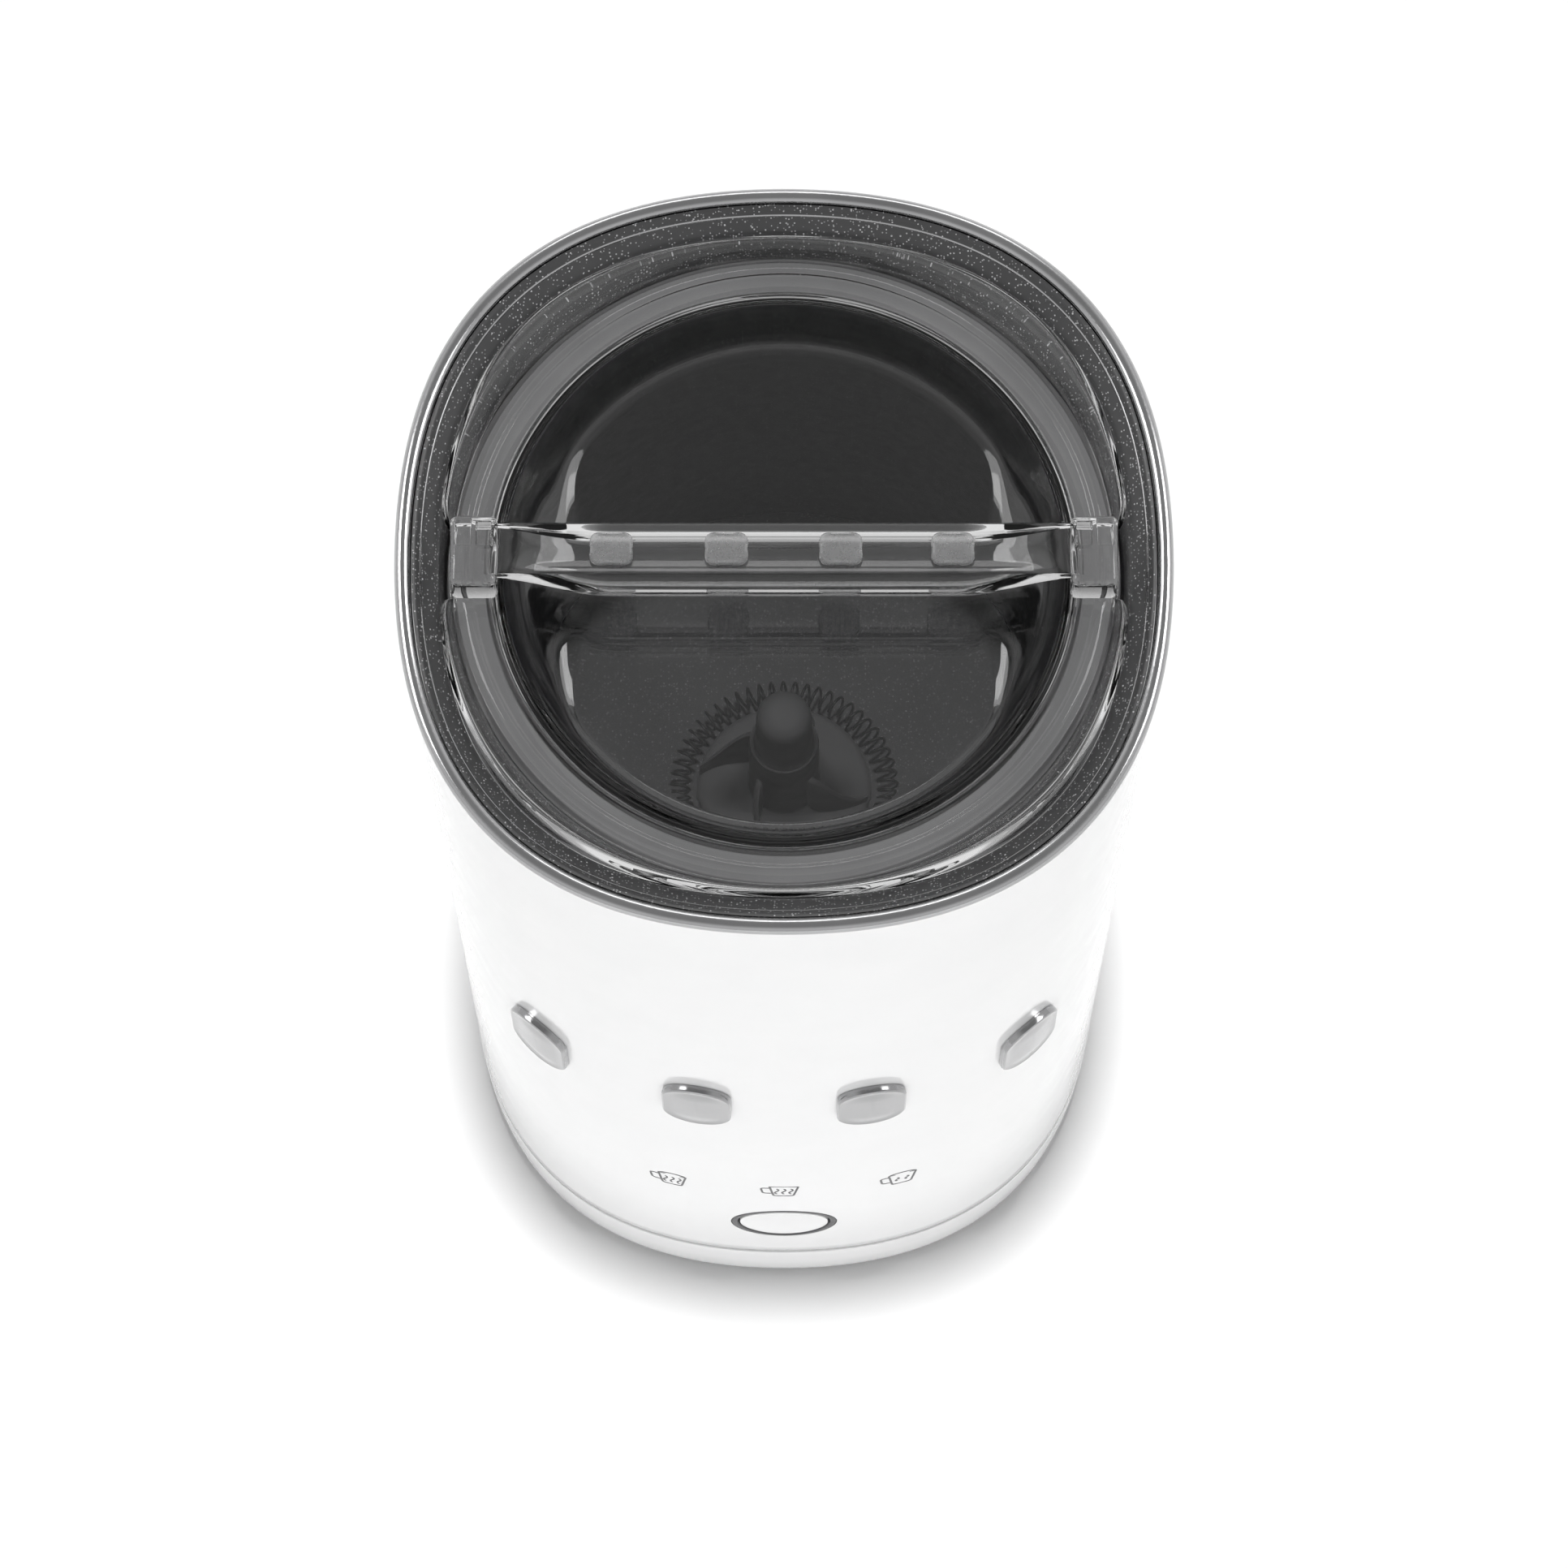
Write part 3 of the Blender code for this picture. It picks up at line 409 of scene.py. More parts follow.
def nonstick():
    """Dark coating with fine pale mineral flecks of two sizes, thinning out down the wall."""
    nodes = Nodes("nonstick")
    base = nodes.ramp(nodes.noise(45, 3), [(0.35, (0.040, 0.040, 0.041)), (0.65, (0.049, 0.049, 0.050))])
    flecks = None
    for scale, size, left_out in ((2600, 0.27, 0.50), (1700, 0.22, 0.80)):
        cells = nodes.add("ShaderNodeTexVoronoi")
        cells.inputs["Scale"].default_value = scale
        nodes.link(nodes.place, cells.inputs["Vector"])
        near = nodes.maths("LESS_THAN", cells.outputs["Distance"], size)
        pick = nodes.add("ShaderNodeSeparateColor")
        nodes.link(cells.outputs["Color"], pick.inputs["Color"])
        chosen = nodes.maths("GREATER_THAN", pick.outputs["Red"], left_out)
        level = nodes.maths("MULTIPLY", nodes.maths("MULTIPLY", near, chosen),
                            nodes.spread(pick.outputs["Green"], 0.25, 1.0))
        flecks = level if flecks is None else nodes.maths("MAXIMUM", flecks, level)
    fade_low, fade_high, lowest_share = RIM_Z - 14 * MM, RIM_Z - 6 * MM, 0.16
    split = nodes.add("ShaderNodeSeparateXYZ")
    nodes.link(nodes.place, split.inputs["Vector"])
    shown = nodes.spread(split.outputs["Z"], lowest_share, 1.0, fade_low, fade_high)
    nodes.colour(nodes.mix(nodes.maths("MULTIPLY", flecks, shown), base, (0.52, 0.52, 0.53)))
    nodes.roughness(nodes.spread(nodes.noise(500, 3), 0.30, 0.42, 0.3, 0.7))
    nodes.bump(nodes.noise(1500, 2), 0.10, 0.0001)
    return nodes.material


def clear_plastic():
    """Clear moulded plastic whose tint and gloss are faintly uneven."""
    tint = 0.93
    nodes = Nodes("clear_plastic")
    nodes.colour(nodes.ramp(nodes.noise(40, 2), [(0.3, (tint - 0.02,) * 3), (0.7, (tint,) * 3)]))
    nodes.roughness(nodes.spread(nodes.noise(160, 3), 0.0, 0.02, 0.45, 0.75))
    nodes.set(Transmission_Weight=1.0, IOR=1.49)
    return nodes.material


def circuit_green():
    """Coated circuit board with a faint pattern of tracks."""
    nodes = Nodes("circuit_green")
    tracks = nodes.add("ShaderNodeTexBrick")
    tracks.inputs["Scale"].default_value = 420
    tracks.inputs["Mortar Size"].default_value = 0.04
    nodes.link(nodes.place, tracks.inputs["Vector"])
    nodes.colour(nodes.mix(tracks.outputs["Fac"], (0.02, 0.13, 0.06), (0.05, 0.26, 0.12)))
    nodes.roughness(nodes.spread(nodes.noise(400, 3), 0.30, 0.45))
    nodes.bump(tracks.outputs["Fac"], 0.2, 0.0001)
    return nodes.material


MATERIALS = {
    "white_gloss": white_gloss(),
    "grey_plastic": moulded("grey_plastic", (0.050, 0.050, 0.054), (0.066, 0.066, 0.070), (0.32, 0.46),
                            1800, 0.10).material,
    "black_plastic": moulded("black_plastic", (0.052, 0.052, 0.053), (0.064, 0.064, 0.065), (0.36, 0.48),
                             1600, 0.10).material,
    "polished_steel": polished_steel(),
    "nonstick": nonstick(),
    "aluminium": metal("aluminium", (0.55, 0.55, 0.57), (0.63, 0.63, 0.65), (0.28, 0.42)),
    "rubber": moulded("rubber", (0.022, 0.022, 0.022), (0.036, 0.036, 0.036), (0.70, 0.90), 1200,
                      0.30).material,
    "silicone": moulded("silicone", (0.105, 0.105, 0.107), (0.125, 0.125, 0.127), (0.45, 0.60), 1400,
                        0.10).material,
    "clear_plastic": clear_plastic(),
    "brass": metal("brass", (0.62, 0.42, 0.18), (0.76, 0.56, 0.27), (0.22, 0.36)),
    "circuit_green": circuit_green(),
    "magnet": metal("magnet", (0.32, 0.32, 0.33), (0.40, 0.40, 0.41), (0.20, 0.34)),
}


def frosted():
    """The satin face of the raised marks on the lid's bar: clear plastic that scatters light."""
    nodes = Nodes("frosted_plastic")
    nodes.colour(nodes.ramp(nodes.noise(500, 3), [(0.35, (0.74, 0.74, 0.745)),
                                                  (0.65, (0.80, 0.80, 0.805))]))
    nodes.roughness(nodes.spread(nodes.noise(1800, 3), 0.22, 0.34, 0.3, 0.7))
    nodes.bump(nodes.noise(4000, 2), 0.06, 0.0001)
    nodes.set(Transmission_Weight=0.85, IOR=1.49)
    return nodes.material


# Looks that a few pieces wear in place of their slot's own material
FROSTED = frosted()
# A darker copy of the polished steel for the front pills: painted shade, standing in for the dimmer
# reflection the pills show
SHADED_STEEL = polished_steel("shaded_steel", 0.30, 0.36)
SPRING_WIRE = metal("spring_wire", (0.30, 0.30, 0.305), (0.38, 0.38, 0.385), (0.38, 0.50))


def finish(piece, slot, body, *replaced):
    """Give a new piece its material, its body and the CAD nodes it stands for."""
    piece.data.materials.clear()
    piece.data.materials.append(MATERIALS[slot])
    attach(piece, body)
    if replaced:
        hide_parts(*replaced)
    return piece


def dress_cad_nodes():
    """Give every CAD piece the material of its slot."""
    for node in NODES.values():
        for place in node.material_slots:
            place.material = MATERIALS[place.material.name.split(".")[0]]


# ---------------------------------------------------------------- base and body

def make_base_cover():
    edge = 0.9325 * RIM_RADIUS
    side = 0.951 * RIM_RADIUS
    inside = side - SHELL_WALL
    ceiling = BASE_TOP - SHELL_WALL
    hole = PILLAR_RADIUS + GAP
    land = 0.90 * RIM_RADIUS
    wall = through([
        (edge - 0.55 * MM, BASE_EDGE_Z, 1),
        (edge - 0.12 * MM, BASE_EDGE_Z + 0.25 * MM, 1),
        (0.9365 * RIM_RADIUS, 2.0 * MM, 1),
        (0.945 * RIM_RADIUS, 4.2 * MM, 1),
        (side, 8.5 * MM, 1),
        (0.953 * RIM_RADIUS, 12.5 * MM, 1),
        (0.953 * RIM_RADIUS, BASE_TOP - 0.5 * MM, 1),
        (0.9515 * RIM_RADIUS, BASE_TOP - 0.12 * MM, 1),
        (0.9485 * RIM_RADIUS, BASE_TOP, 1),
    ], 4)
    inner = rounded([
        (land + 0.4 * MM, BASE_TOP, 1),
        (land, LAND_TOP, 1),
        (hole, LAND_TOP, 0),
        (hole, ceiling, 0),
        (inside, ceiling, 1),
        (inside - 0.3 * MM, 6.0 * MM, 1),
        (edge - SHELL_WALL, BASE_EDGE_Z, 1),
    ], 0.4 * MM, 3, closed=False)
    cover = loft("base_cover_shell", wall + inner)
    # The opening in the back wall
    outlet = rod("outlet", 4.7 * MM, -6 * MM, 6 * MM)
    outlet.data.transform(Matrix.Translation((0, side, 8.3 * MM)) @ Matrix.Rotation(math.pi / 2, 4, "X"))
    combine(cover, outlet, "DIFFERENCE")
    finish(cover, "white_gloss", "power_base", "base_cover")


def make_body_shell():
    levels = 60
    height = BODY_HIGH - BODY_LOW
    outside = []
    for step in range(levels):
        z = BODY_HIGH - height * step / levels
        outside.append((body_radius(z), z, 1))
    edge = body_radius(BODY_LOW)
    lower = [(edge, BODY_LOW + 0.5 * MM, 1), (edge - 0.1 * MM, BODY_LOW + 0.18 * MM, 1),
             (edge - 0.4 * MM, BODY_LOW, 1), (edge - SHELL_WALL, BODY_LOW, 1)]
    inside = [(body_radius(BODY_HIGH) - SHELL_WALL, BODY_HIGH, 1)]
    shell = loft("body_shell", outside + lower + inside)
    clearance = 0.12 * MM
    hole = rod("hole", BEZEL_RADIUS + clearance, -8 * MM, 8 * MM, 96)
    aim_front(hole, 0, BUTTON_Z)
    combine(shell, hole, "DIFFERENCE")
    finish(shell, "white_gloss", "frother", "outer_shell")


def make_rim():
    centre = RIM_RADIUS - RIM_BEAD
    steps = 28
    bead = []
    for step in range(steps):
        angle = 2 * math.pi * step / steps
        bead.append((centre + RIM_BEAD * math.cos(angle), RIM_Z - RIM_BEAD * math.sin(angle), 1))
    finish(loft("rim_roll", bead), "polished_steel", "frother", "rim_ring")


def make_jug():
    """The jug's bowl with its flared lip, and the bare steel line where its coating ends."""
    r = RIM_RADIUS
    inside = through([
        (r - 2 * RIM_BEAD - 0.1 * MM, RIM_Z + 0.3 * MM, 1),
        (0.947 * r, RIM_Z + 0.1 * MM, 1),
        (0.936 * r, RIM_Z - 0.5 * MM, 1),
        (0.915 * r, RIM_Z - 1.5 * MM, 1),
        (0.897 * r, RIM_Z - 2.4 * MM, 1),
        (0.882 * r, RIM_Z - 3.5 * MM, 0.8),
        (0.866 * r, RIM_Z - 5.4 * MM, 0.35),
        (0.853 * r, RIM_Z - 8.0 * MM, 0.08),
        (0.848 * r, RIM_Z - 12.0 * MM, 0),
        (0.835 * r, RIM_Z - 40.0 * MM, 0),
        (0.815 * r, JUG_FLOOR_Z + 12 * MM, 0),
        (0.800 * r, JUG_FLOOR_Z + 5 * MM, 0),
        (0.755 * r, JUG_FLOOR_Z + 1.2 * MM, 0),
        (0.690 * r, JUG_FLOOR_Z + 0.05 * MM, 0),
        (0.60 * r, JUG_FLOOR_Z, 0),
    ], 5) + [(0, JUG_FLOOR_Z, 0)]
    floor_low = JUG_FLOOR_Z - JUG_WALL
    outside = [
        (0, floor_low, 0),
        (0.695 * r, floor_low, 0),
        (0.770 * r, JUG_FLOOR_Z + 0.4 * MM, 0),
        (0.820 * r, JUG_FLOOR_Z + 4.6 * MM, 0),
        (0.835 * r, JUG_FLOOR_Z + 12 * MM, 0),
        (0.868 * r, RIM_Z - 11.0 * MM, 0),
        (0.872 * r, RIM_Z - 7.4 * MM, 0.1),
        (0.890 * r, RIM_Z - 5.0 * MM, 0.55),
        (0.905 * r, RIM_Z - 3.3 * MM, 1),
        (0.922 * r, RIM_Z - 2.5 * MM, 1),
        (0.938 * r, RIM_Z - 1.5 * MM, 1),
        (r - 2 * RIM_BEAD - 0.1 * MM, RIM_Z - 0.9 * MM, 1),
    ]
    # From the axis up the inside to the rim, then down the outside and back to the axis
    section = inside[::-1] + outside[::-1]
    finish(loft("jug_bowl", section), "nonstick", "frother", "jug")
    line = loft("coating_edge", [
        (0.9300 * r, RIM_Z - 0.95 * MM, 1), (0.9310 * r, RIM_Z - 0.70 * MM, 1),
        (0.9330 * r, RIM_Z - 0.56 * MM, 1), (0.9350 * r, RIM_Z - 0.50 * MM, 1),
        (0.9360 * r, RIM_Z - 0.62 * MM, 1), (0.9355 * r, RIM_Z - 0.90 * MM, 1)])
    finish(line, "polished_steel", "frother")


# ---------------------------------------------------------------- front of the body

def front_disc(name, radii, heights, back):
    """A disc or ring on the front whose face follows the body's curve.

    radii and heights give its face from the middle or inner edge outward; back is its depth.
    """
    segments = 96
    bm = bmesh.new()
    rings = []
    for radius, height in zip(radii, heights):
        if radius == 0:
            continue
        ring = []
        for step in range(segments):
            angle = 2 * math.pi * step / segments
            ring.append(bm.verts.new(on_front(radius * math.cos(angle),
                                              BUTTON_Z + radius * math.sin(angle), height)))
        rings.append(ring)
    skin(bm, rings)
    solid = radii[0] == 0
    outer = [bm.verts.new(v.co + Vector((0, back, 0))) for v in rings[-1]]
    skin(bm, [rings[-1], outer])
    if solid:
        bm.faces.new(rings[0])
        bm.faces.new(outer)
    else:
        inner = [bm.verts.new(v.co + Vector((0, back, 0))) for v in rings[0]]
        skin(bm, [rings[0], inner])
        skin(bm, [inner, outer])
    return piece_from(name, bm, 50)


def make_button():
    bezel = front_disc("button_ring",
                       [BUTTON_RADIUS + GAP, BUTTON_RADIUS + 0.45 * MM, BEZEL_RADIUS - 0.15 * MM,
                        BEZEL_RADIUS],
                       [-0.15 * MM, 0.02 * MM, 0.05 * MM, -0.06 * MM], 4.0 * MM)
    finish(bezel, "grey_plastic", "frother", "button_bezel")
    share = [0, 0.15, 0.35, 0.55, 0.75, 0.90, 0.96, 0.99, 1.0]
    dish = [-0.10, -0.10, -0.08, -0.05, -0.02, 0.02, 0.02, -0.04, -0.16]
    cap = front_disc("button_cap", [BUTTON_RADIUS * s for s in share], [h * MM for h in dish], 2.4 * MM)
    stem = rod("stem", 2.0 * MM, -5.2 * MM, -2.0 * MM, 32)
    aim_front(stem, 0, BUTTON_Z)
    combine(cap, stem, "UNION")
    finish(cap, "white_gloss", "button", "start_button")


def make_badges():
    """Four plain domed pills; each follows the body behind it."""
    half = BADGE_WIDTH / 2
    straight = BADGE_HEIGHT / 2 - half
    steps = 96
    for number, degrees in enumerate(BADGE_ANGLES, 1):
        middle = math.radians(degrees)
        reach = body_radius(BADGE_Z) * plan_factor(middle)
        bm = bmesh.new()
        rings = []
        for inset, height in ((0.0, 0.02), (0.0, 0.75), (0.08, 0.98), (0.3, 1.12), (0.7, 1.06),
                              (1.2, 1.00), (1.7, 1.02), (2.6, 1.12), (3.6, 1.2), (4.5, 1.24)):
            ring = []
            for step in range(steps):
                turn = 2 * math.pi * step / steps
                radius = half - inset * MM
                u = radius * math.cos(turn)
                v = radius * math.sin(turn) + math.copysign(straight, math.sin(turn))
                if abs(math.sin(turn)) < 1e-6:
                    v = 0.0
                z = BADGE_Z + v
                angle = middle + u / reach
                point = plan_point(body_radius(z), z, angle) + body_normal(angle) * height * MM
                ring.append(bm.verts.new(point))
            rings.append(ring)
        skin(bm, rings)
        bm.faces.new(rings[-1])
        bm.faces.new(rings[0])
        badge = piece_from(f"front_pill_{number}", bm, 35)
        finish(badge, "polished_steel", "frother", f"front_badge_{number}")
        # The pills wear the darker copy of the steel: painted shade in their reflection
        badge.data.materials[0] = SHADED_STEEL


def stroke(bm, points, width, proud):
    """A printed line on the front: a thin raised band along the points, which are (x, z)."""
    rows = []
    count = len(points)
    for index, (x, z) in enumerate(points):
        before = Vector(points[max(index - 1, 0)])
        after = Vector(points[min(index + 1, count - 1)])
        along = (after - before).normalized()
        side = Vector((-along.y, along.x)) * width / 2
        row = []
        for place, height in ((1, 0.0), (1, proud), (-1, proud), (-1, 0.0)):
            row.append(bm.verts.new(on_front(x + side.x * place, z + side.y * place, height)))
        rows.append(row)
    skin(bm, rows)
    bm.faces.new(rows[0])
    bm.faces.new(rows[-1])


def make_icons():
    """Printed cups over the button: hot with thick froth, hot with thin froth, cold."""
    line = 0.32 * MM
    proud = 0.03 * MM
    for name, degrees, dome, waves in (("left", -19.7, True, 3), ("middle", -0.6, False, 3),
                                       ("right", 19.7, True, 2)):
        middle = body_radius(LAMP_Z) * math.sin(math.radians(degrees))
        squeeze = math.cos(math.radians(degrees))
        bm = bmesh.new()

        def put(points, width=line):
            stroke(bm, [(middle + x * squeeze * MM, LAMP_Z + z * MM) for x, z in points], width, proud)

        put(rounded([(-1.6, 2.7), (-1.0, -2.6), (1.9, -2.6), (2.6, 2.7)], 0.5, 4, closed=False))
        put([(-1.7, 2.7), (2.7, 2.7)])
        put(rounded([(-1.5, 1.9), (-2.9, 1.9), (-2.6, -1.1), (-1.1, -1.1)], 0.6, 4, closed=False))
        if dome:
            put([(0.5 + 2.0 * math.cos(math.pi * t / 12), 2.7 + 0.9 * math.sin(math.pi * t / 12))
                 for t in range(13)])
        for wave in range(waves):
            x = 0.5 + (wave - (waves - 1) / 2) * (1.05 if waves == 3 else 1.5)
            height = 1.5 if waves == 3 else 0.9
            put([(x + 0.28 * math.sin(2 * math.pi * t / 12), height * (1 - t / 6)) for t in range(13)],
                0.26 * MM)
        finish(piece_from(f"cup_mark_{name}", bm, 30), "grey_plastic", "frother")


# ---------------------------------------------------------------- lid

def lid_section(angle):
    """Section of the clear lid at an angle from the front, in (reach, z) points.

    The flange round it is cut away, with round corners, beside the two ends of the bar.
    """
    r = RIM_RADIUS
    from_side = min(abs(math.degrees(angle) - 90), abs(math.degrees(angle) - 270))
    grow = min(1.0, max(0.0, (from_side - 6.2) / 5.2))
    width = math.sqrt(1 - (1 - grow) ** 2)
    lift = smooth_step((from_side - 5.9) / 1.6)
    full = 0.892 * r * plan_factor(angle)
    ring = 0.820 * r
    narrowest = 0.75 * MM
    edge = ring + narrowest + (full - ring - narrowest) * width
    low = LEDGE_Z - 0.05 * MM
    rise = 0.35 * MM + 2.6 * MM * lift
    wall = 1.8 * MM
    reach = 38
    shallow = smooth_step((reach - from_side) / reach)

    def floor_point(tight, wide, height):
        """A point of the recess, which is shallower at the sides, under the ends of the bar."""
        return ((tight + (wide - tight) * shallow) * r, RECESS_Z + height * MM)

    def across(share, height):
        """A point of the flange between the ring and its edge; height 1 is its top."""
        return (ring + (edge - ring) * share, low + rise * height)

    dish = through([
        (0.0, RECESS_Z), floor_point(0.40, 0.25, 0), floor_point(0.595, 0.42, 0.02),
        floor_point(0.630, 0.487, 0.30), floor_point(0.652, 0.5515, 1.10),
        floor_point(0.666, 0.612, 2.50), floor_point(0.676, 0.655, 4.2),
        floor_point(0.685, 0.680, 6.0), floor_point(0.692, 0.692, 7.2),
        (0.6990 * r, LEDGE_Z - 0.2 * MM)], 4)
    recess = dish + [(0.7015 * r, LEDGE_Z + 0.05 * MM)]
    bands = rounded([
        (0.7015 * r, LEDGE_Z + 0.05 * MM),
        (0.7035 * r, LEDGE_Z + 0.20 * MM), (0.7095 * r, LEDGE_Z + 0.20 * MM),
        (0.7140 * r, LEDGE_Z - 0.6 * MM), (0.7290 * r, LEDGE_Z - 0.6 * MM),
        (0.7370 * r, LEDGE_Z + 0.10 * MM), (0.7780 * r, LEDGE_Z + 0.02 * MM),
        (0.7850 * r, LEDGE_Z + 0.62 * MM), (0.7960 * r, LEDGE_Z + 0.66 * MM),
        (0.8060 * r, LEDGE_Z + 0.44 * MM), (0.8150 * r, LEDGE_Z + 0.10 * MM), across(0.0, 0.0),
    ], 0.35 * MM, 4, closed=False)[1:-1]
    flange = through([across(0.0, 0.0), across(0.10, 0.0), across(0.22, 0.07), across(0.36, 0.34),
                      across(0.48, 0.67), across(0.58, 0.89), across(0.67, 0.99), across(0.75, 1.0),
                      across(0.84, 0.94), across(0.92, 0.84), across(0.975, 0.75)], 4)
    outer = [across(0.993, 0.70), across(1.0, 0.66), across(0.993, 0.62), across(0.97, 0.58)]
    under = [
        across(0.80, 0.40),
        across(0.62, 0.12),
        (ring + (edge - ring) * 0.45, low - 0.7 * MM),
        (ring + (edge - ring) * 0.20, low - 1.5 * MM),
        (0.818 * r, LEDGE_Z - wall),
        (0.740 * r, LEDGE_Z - wall),
    ] + offset(dish[:-2], wall)[::-1]
    return recess + bands + flange + outer + under


def make_lid_shell():
    shell = sweep("lid_bowl", lid_section, 360, 50)
    shell.visible_shadow = False
    finish(shell, "clear_plastic", "lid", "lid_shell")


def make_lid_seal():
    """Silicone ring under the lid, with a lip that wipes the jug's bore."""
    r = RIM_RADIUS
    high = LEDGE_Z - 1.95 * MM
    low = LEDGE_Z - 5.1 * MM
    foot = low - 0.9 * MM
    seal = turned("lid_seal_channel", rounded([
        (0.747 * r, high), (0.814 * r, high), (0.824 * r, high - 0.9 * MM),
        (0.842 * r, high - 1.7 * MM), (0.842 * r, high - 2.1 * MM), (0.815 * r, high - 2.7 * MM),
        (0.806 * r, foot), (0.755 * r, foot), (0.747 * r, low),
    ], 0.25 * MM, 3), 192)
    finish(seal, "silicone", "lid", "lid_seal")


def bar_section(x):
    """Closed outline (y, z) of the bar at a place along it; z is below the bar's top."""
    half = 3.45
    dished = 0.93
    reach = abs(x) / (38.4 * MM)
    swell = smooth_step((1 - reach) / 0.42)
    depth = 2.2 + 7.6 * swell
    bulge = 0.45 * swell
    dip = 0.85 * smooth_step((1 - reach) / 0.24)
    top = [(half * s, -dip * (1 - (s / dished) ** 2))
           for s in (-dished, -0.75, -0.5, -0.25, 0, 0.25, 0.5, 0.75, dished)]
    side = [(half, 0.0), (half * 0.985, -0.25), (half, -0.6)]
    if depth > 3.0:
        flank = [(half + bulge * 0.6, -0.45 * depth - 0.2), (half + bulge, -0.70 * depth - 0.1),
                 (half + bulge * 0.6 - 0.2, -0.88 * depth)]
    else:
        flank = [(half, -0.5 * depth - 0.3), (half, -0.7 * depth), (half - 0.2, -0.88 * depth)]
    right = side + flank + [(half - 0.9, -0.97 * depth), (half * 0.45, -depth), (0.0, -depth)]
    left = [(-y, z) for y, z in reversed(right[:-1])]
    return [(y * MM, z * MM) for y, z in top + right + left]


def make_lid_handle():
    """The bar with a hollowed lug at each end, and the raised pills on its top."""
    bm = bmesh.new()
    half = 38.0 * MM
    stations = 160
    rings = []
    for step in range(stations + 1):
        x = -half + 2 * half * step / stations
        rings.append([bm.verts.new((x, y, BAR_TOP + z)) for y, z in bar_section(x)])
    skin(bm, rings)
    bm.faces.new(rings[0])
    bm.faces.new(rings[-1])
    handle = piece_from("lid_grip", bm, 50)
    foot = RIM_Z - 3.8 * MM
    for side in (-1, 1):
        def span(x_in, x_out, y_low, y_high, z_low, z_high):
            """Two corners of a box on this side; x and y are in millimetres."""
            xs = sorted((side * x_in * MM, side * x_out * MM))
            return (xs[0], y_low * MM, z_low), (xs[1], y_high * MM, z_high)

        lug = block("lug", *span(36.9, 43.0, -4.8, 4.8, foot, 195.0 * MM), bevel=0.9 * MM, segments=4)
        combine(handle, lug, "UNION")
        window = block("window", *span(37.6, 39.7, 0.6, 3.9, 192.3 * MM, 197.0 * MM), bevel=0.3 * MM)
        combine(handle, window, "DIFFERENCE")
        pane = block("pane", *span(40.2, 42.5, 0.6, 4.3, 194.6 * MM, 197.0 * MM), bevel=0.2 * MM)
        combine(handle, pane, "DIFFERENCE")
    handle.visible_shadow = False
    finish(handle, "clear_plastic", "lid", "lid_handle")
    for number, x in enumerate((-22.2, -7.4, 7.3, 21.7), 1):
        make_grip_pill(number, x * MM)


def make_grip_pill(number, x):
    """A raised pill with a raised rim round its edge, on the bar's top."""
    bm = bmesh.new()
    half, radius = 2.95 * MM, 2.35 * MM
    along = half - radius
    steps = 64
    rings = []
    for inset, z in ((0.0, -0.75), (0.0, -0.06), (0.08, 0.06), (0.26, 0.10), (0.40, 0.05),
                     (0.9, 0.03), (1.6, 0.03)):
        ring = []
        for step in range(steps):
            turn = 2 * math.pi * step / steps
            reach = radius - inset * MM
            side = math.copysign(along, math.cos(turn)) if abs(math.cos(turn)) > 1e-6 else 0.0
            bulge = 1.0 - 0.10 * math.cos(4 * turn)
            ring.append(bm.verts.new((x + side + reach * bulge * math.cos(turn),
                                      reach * bulge * math.sin(turn), BAR_TOP + z * MM)))
        rings.append(ring)
    skin(bm, rings)
    bm.faces.new(rings[0])
    bm.faces.new(rings[-1])
    mark = finish(piece_from(f"grip_pill_{number}", bm, 35), "clear_plastic", "lid")
    mark.data.materials[0] = FROSTED


# ---------------------------------------------------------------- whisk

def make_whisk():
    """The rotor with its four vanes and the coil spring round it."""
    low = JUG_FLOOR_Z + 0.8 * MM
    puck = low + 5.2 * MM
    bore = 1.85 * MM
    bore_top = JUG_FLOOR_Z + 22.6 * MM
    hub = turned("whisk_hub", through([
        (0.0, WHISK_TOP_Z), (1.6 * MM, WHISK_TOP_Z - 0.05 * MM), (2.8 * MM, WHISK_TOP_Z - 0.5 * MM),
        (3.7 * MM, WHISK_TOP_Z - 1.6 * MM), (3.9 * MM, WHISK_TOP_Z - 4.0 * MM),
        (4.2 * MM, WHISK_SHOULDER_Z + 1.0 * MM), (4.9 * MM, WHISK_SHOULDER_Z),
        (5.0 * MM, puck + 5.0 * MM), (5.4 * MM, puck + 2.6 * MM), (7.0 * MM, puck + 0.6 * MM),
        (9.0 * MM, puck), (11.6 * MM, puck - 0.5 * MM), (12.5 * MM, puck - 1.3 * MM)], 4)
        + [(12.6 * MM, low + 0.3 * MM), (12.3 * MM, low), (bore, low), (bore, bore_top),
           (0.0, bore_top)])
    pocket_place = 7.92 * MM
    for side in (-1, 1):
        pocket = rod("pocket", 3.6 * MM, low - 1 * MM, low + 3.4 * MM)
        pocket.data.transform(Matrix.Translation((side * pocket_place, 0, 0)))
        combine(hub, pocket, "DIFFERENCE")
    finish(hub, "black_plastic", "whisk", "whisk_rotor")
    for number in range(4):
        make_vane(number, puck)
    make_spring(low + 3.4 * MM)


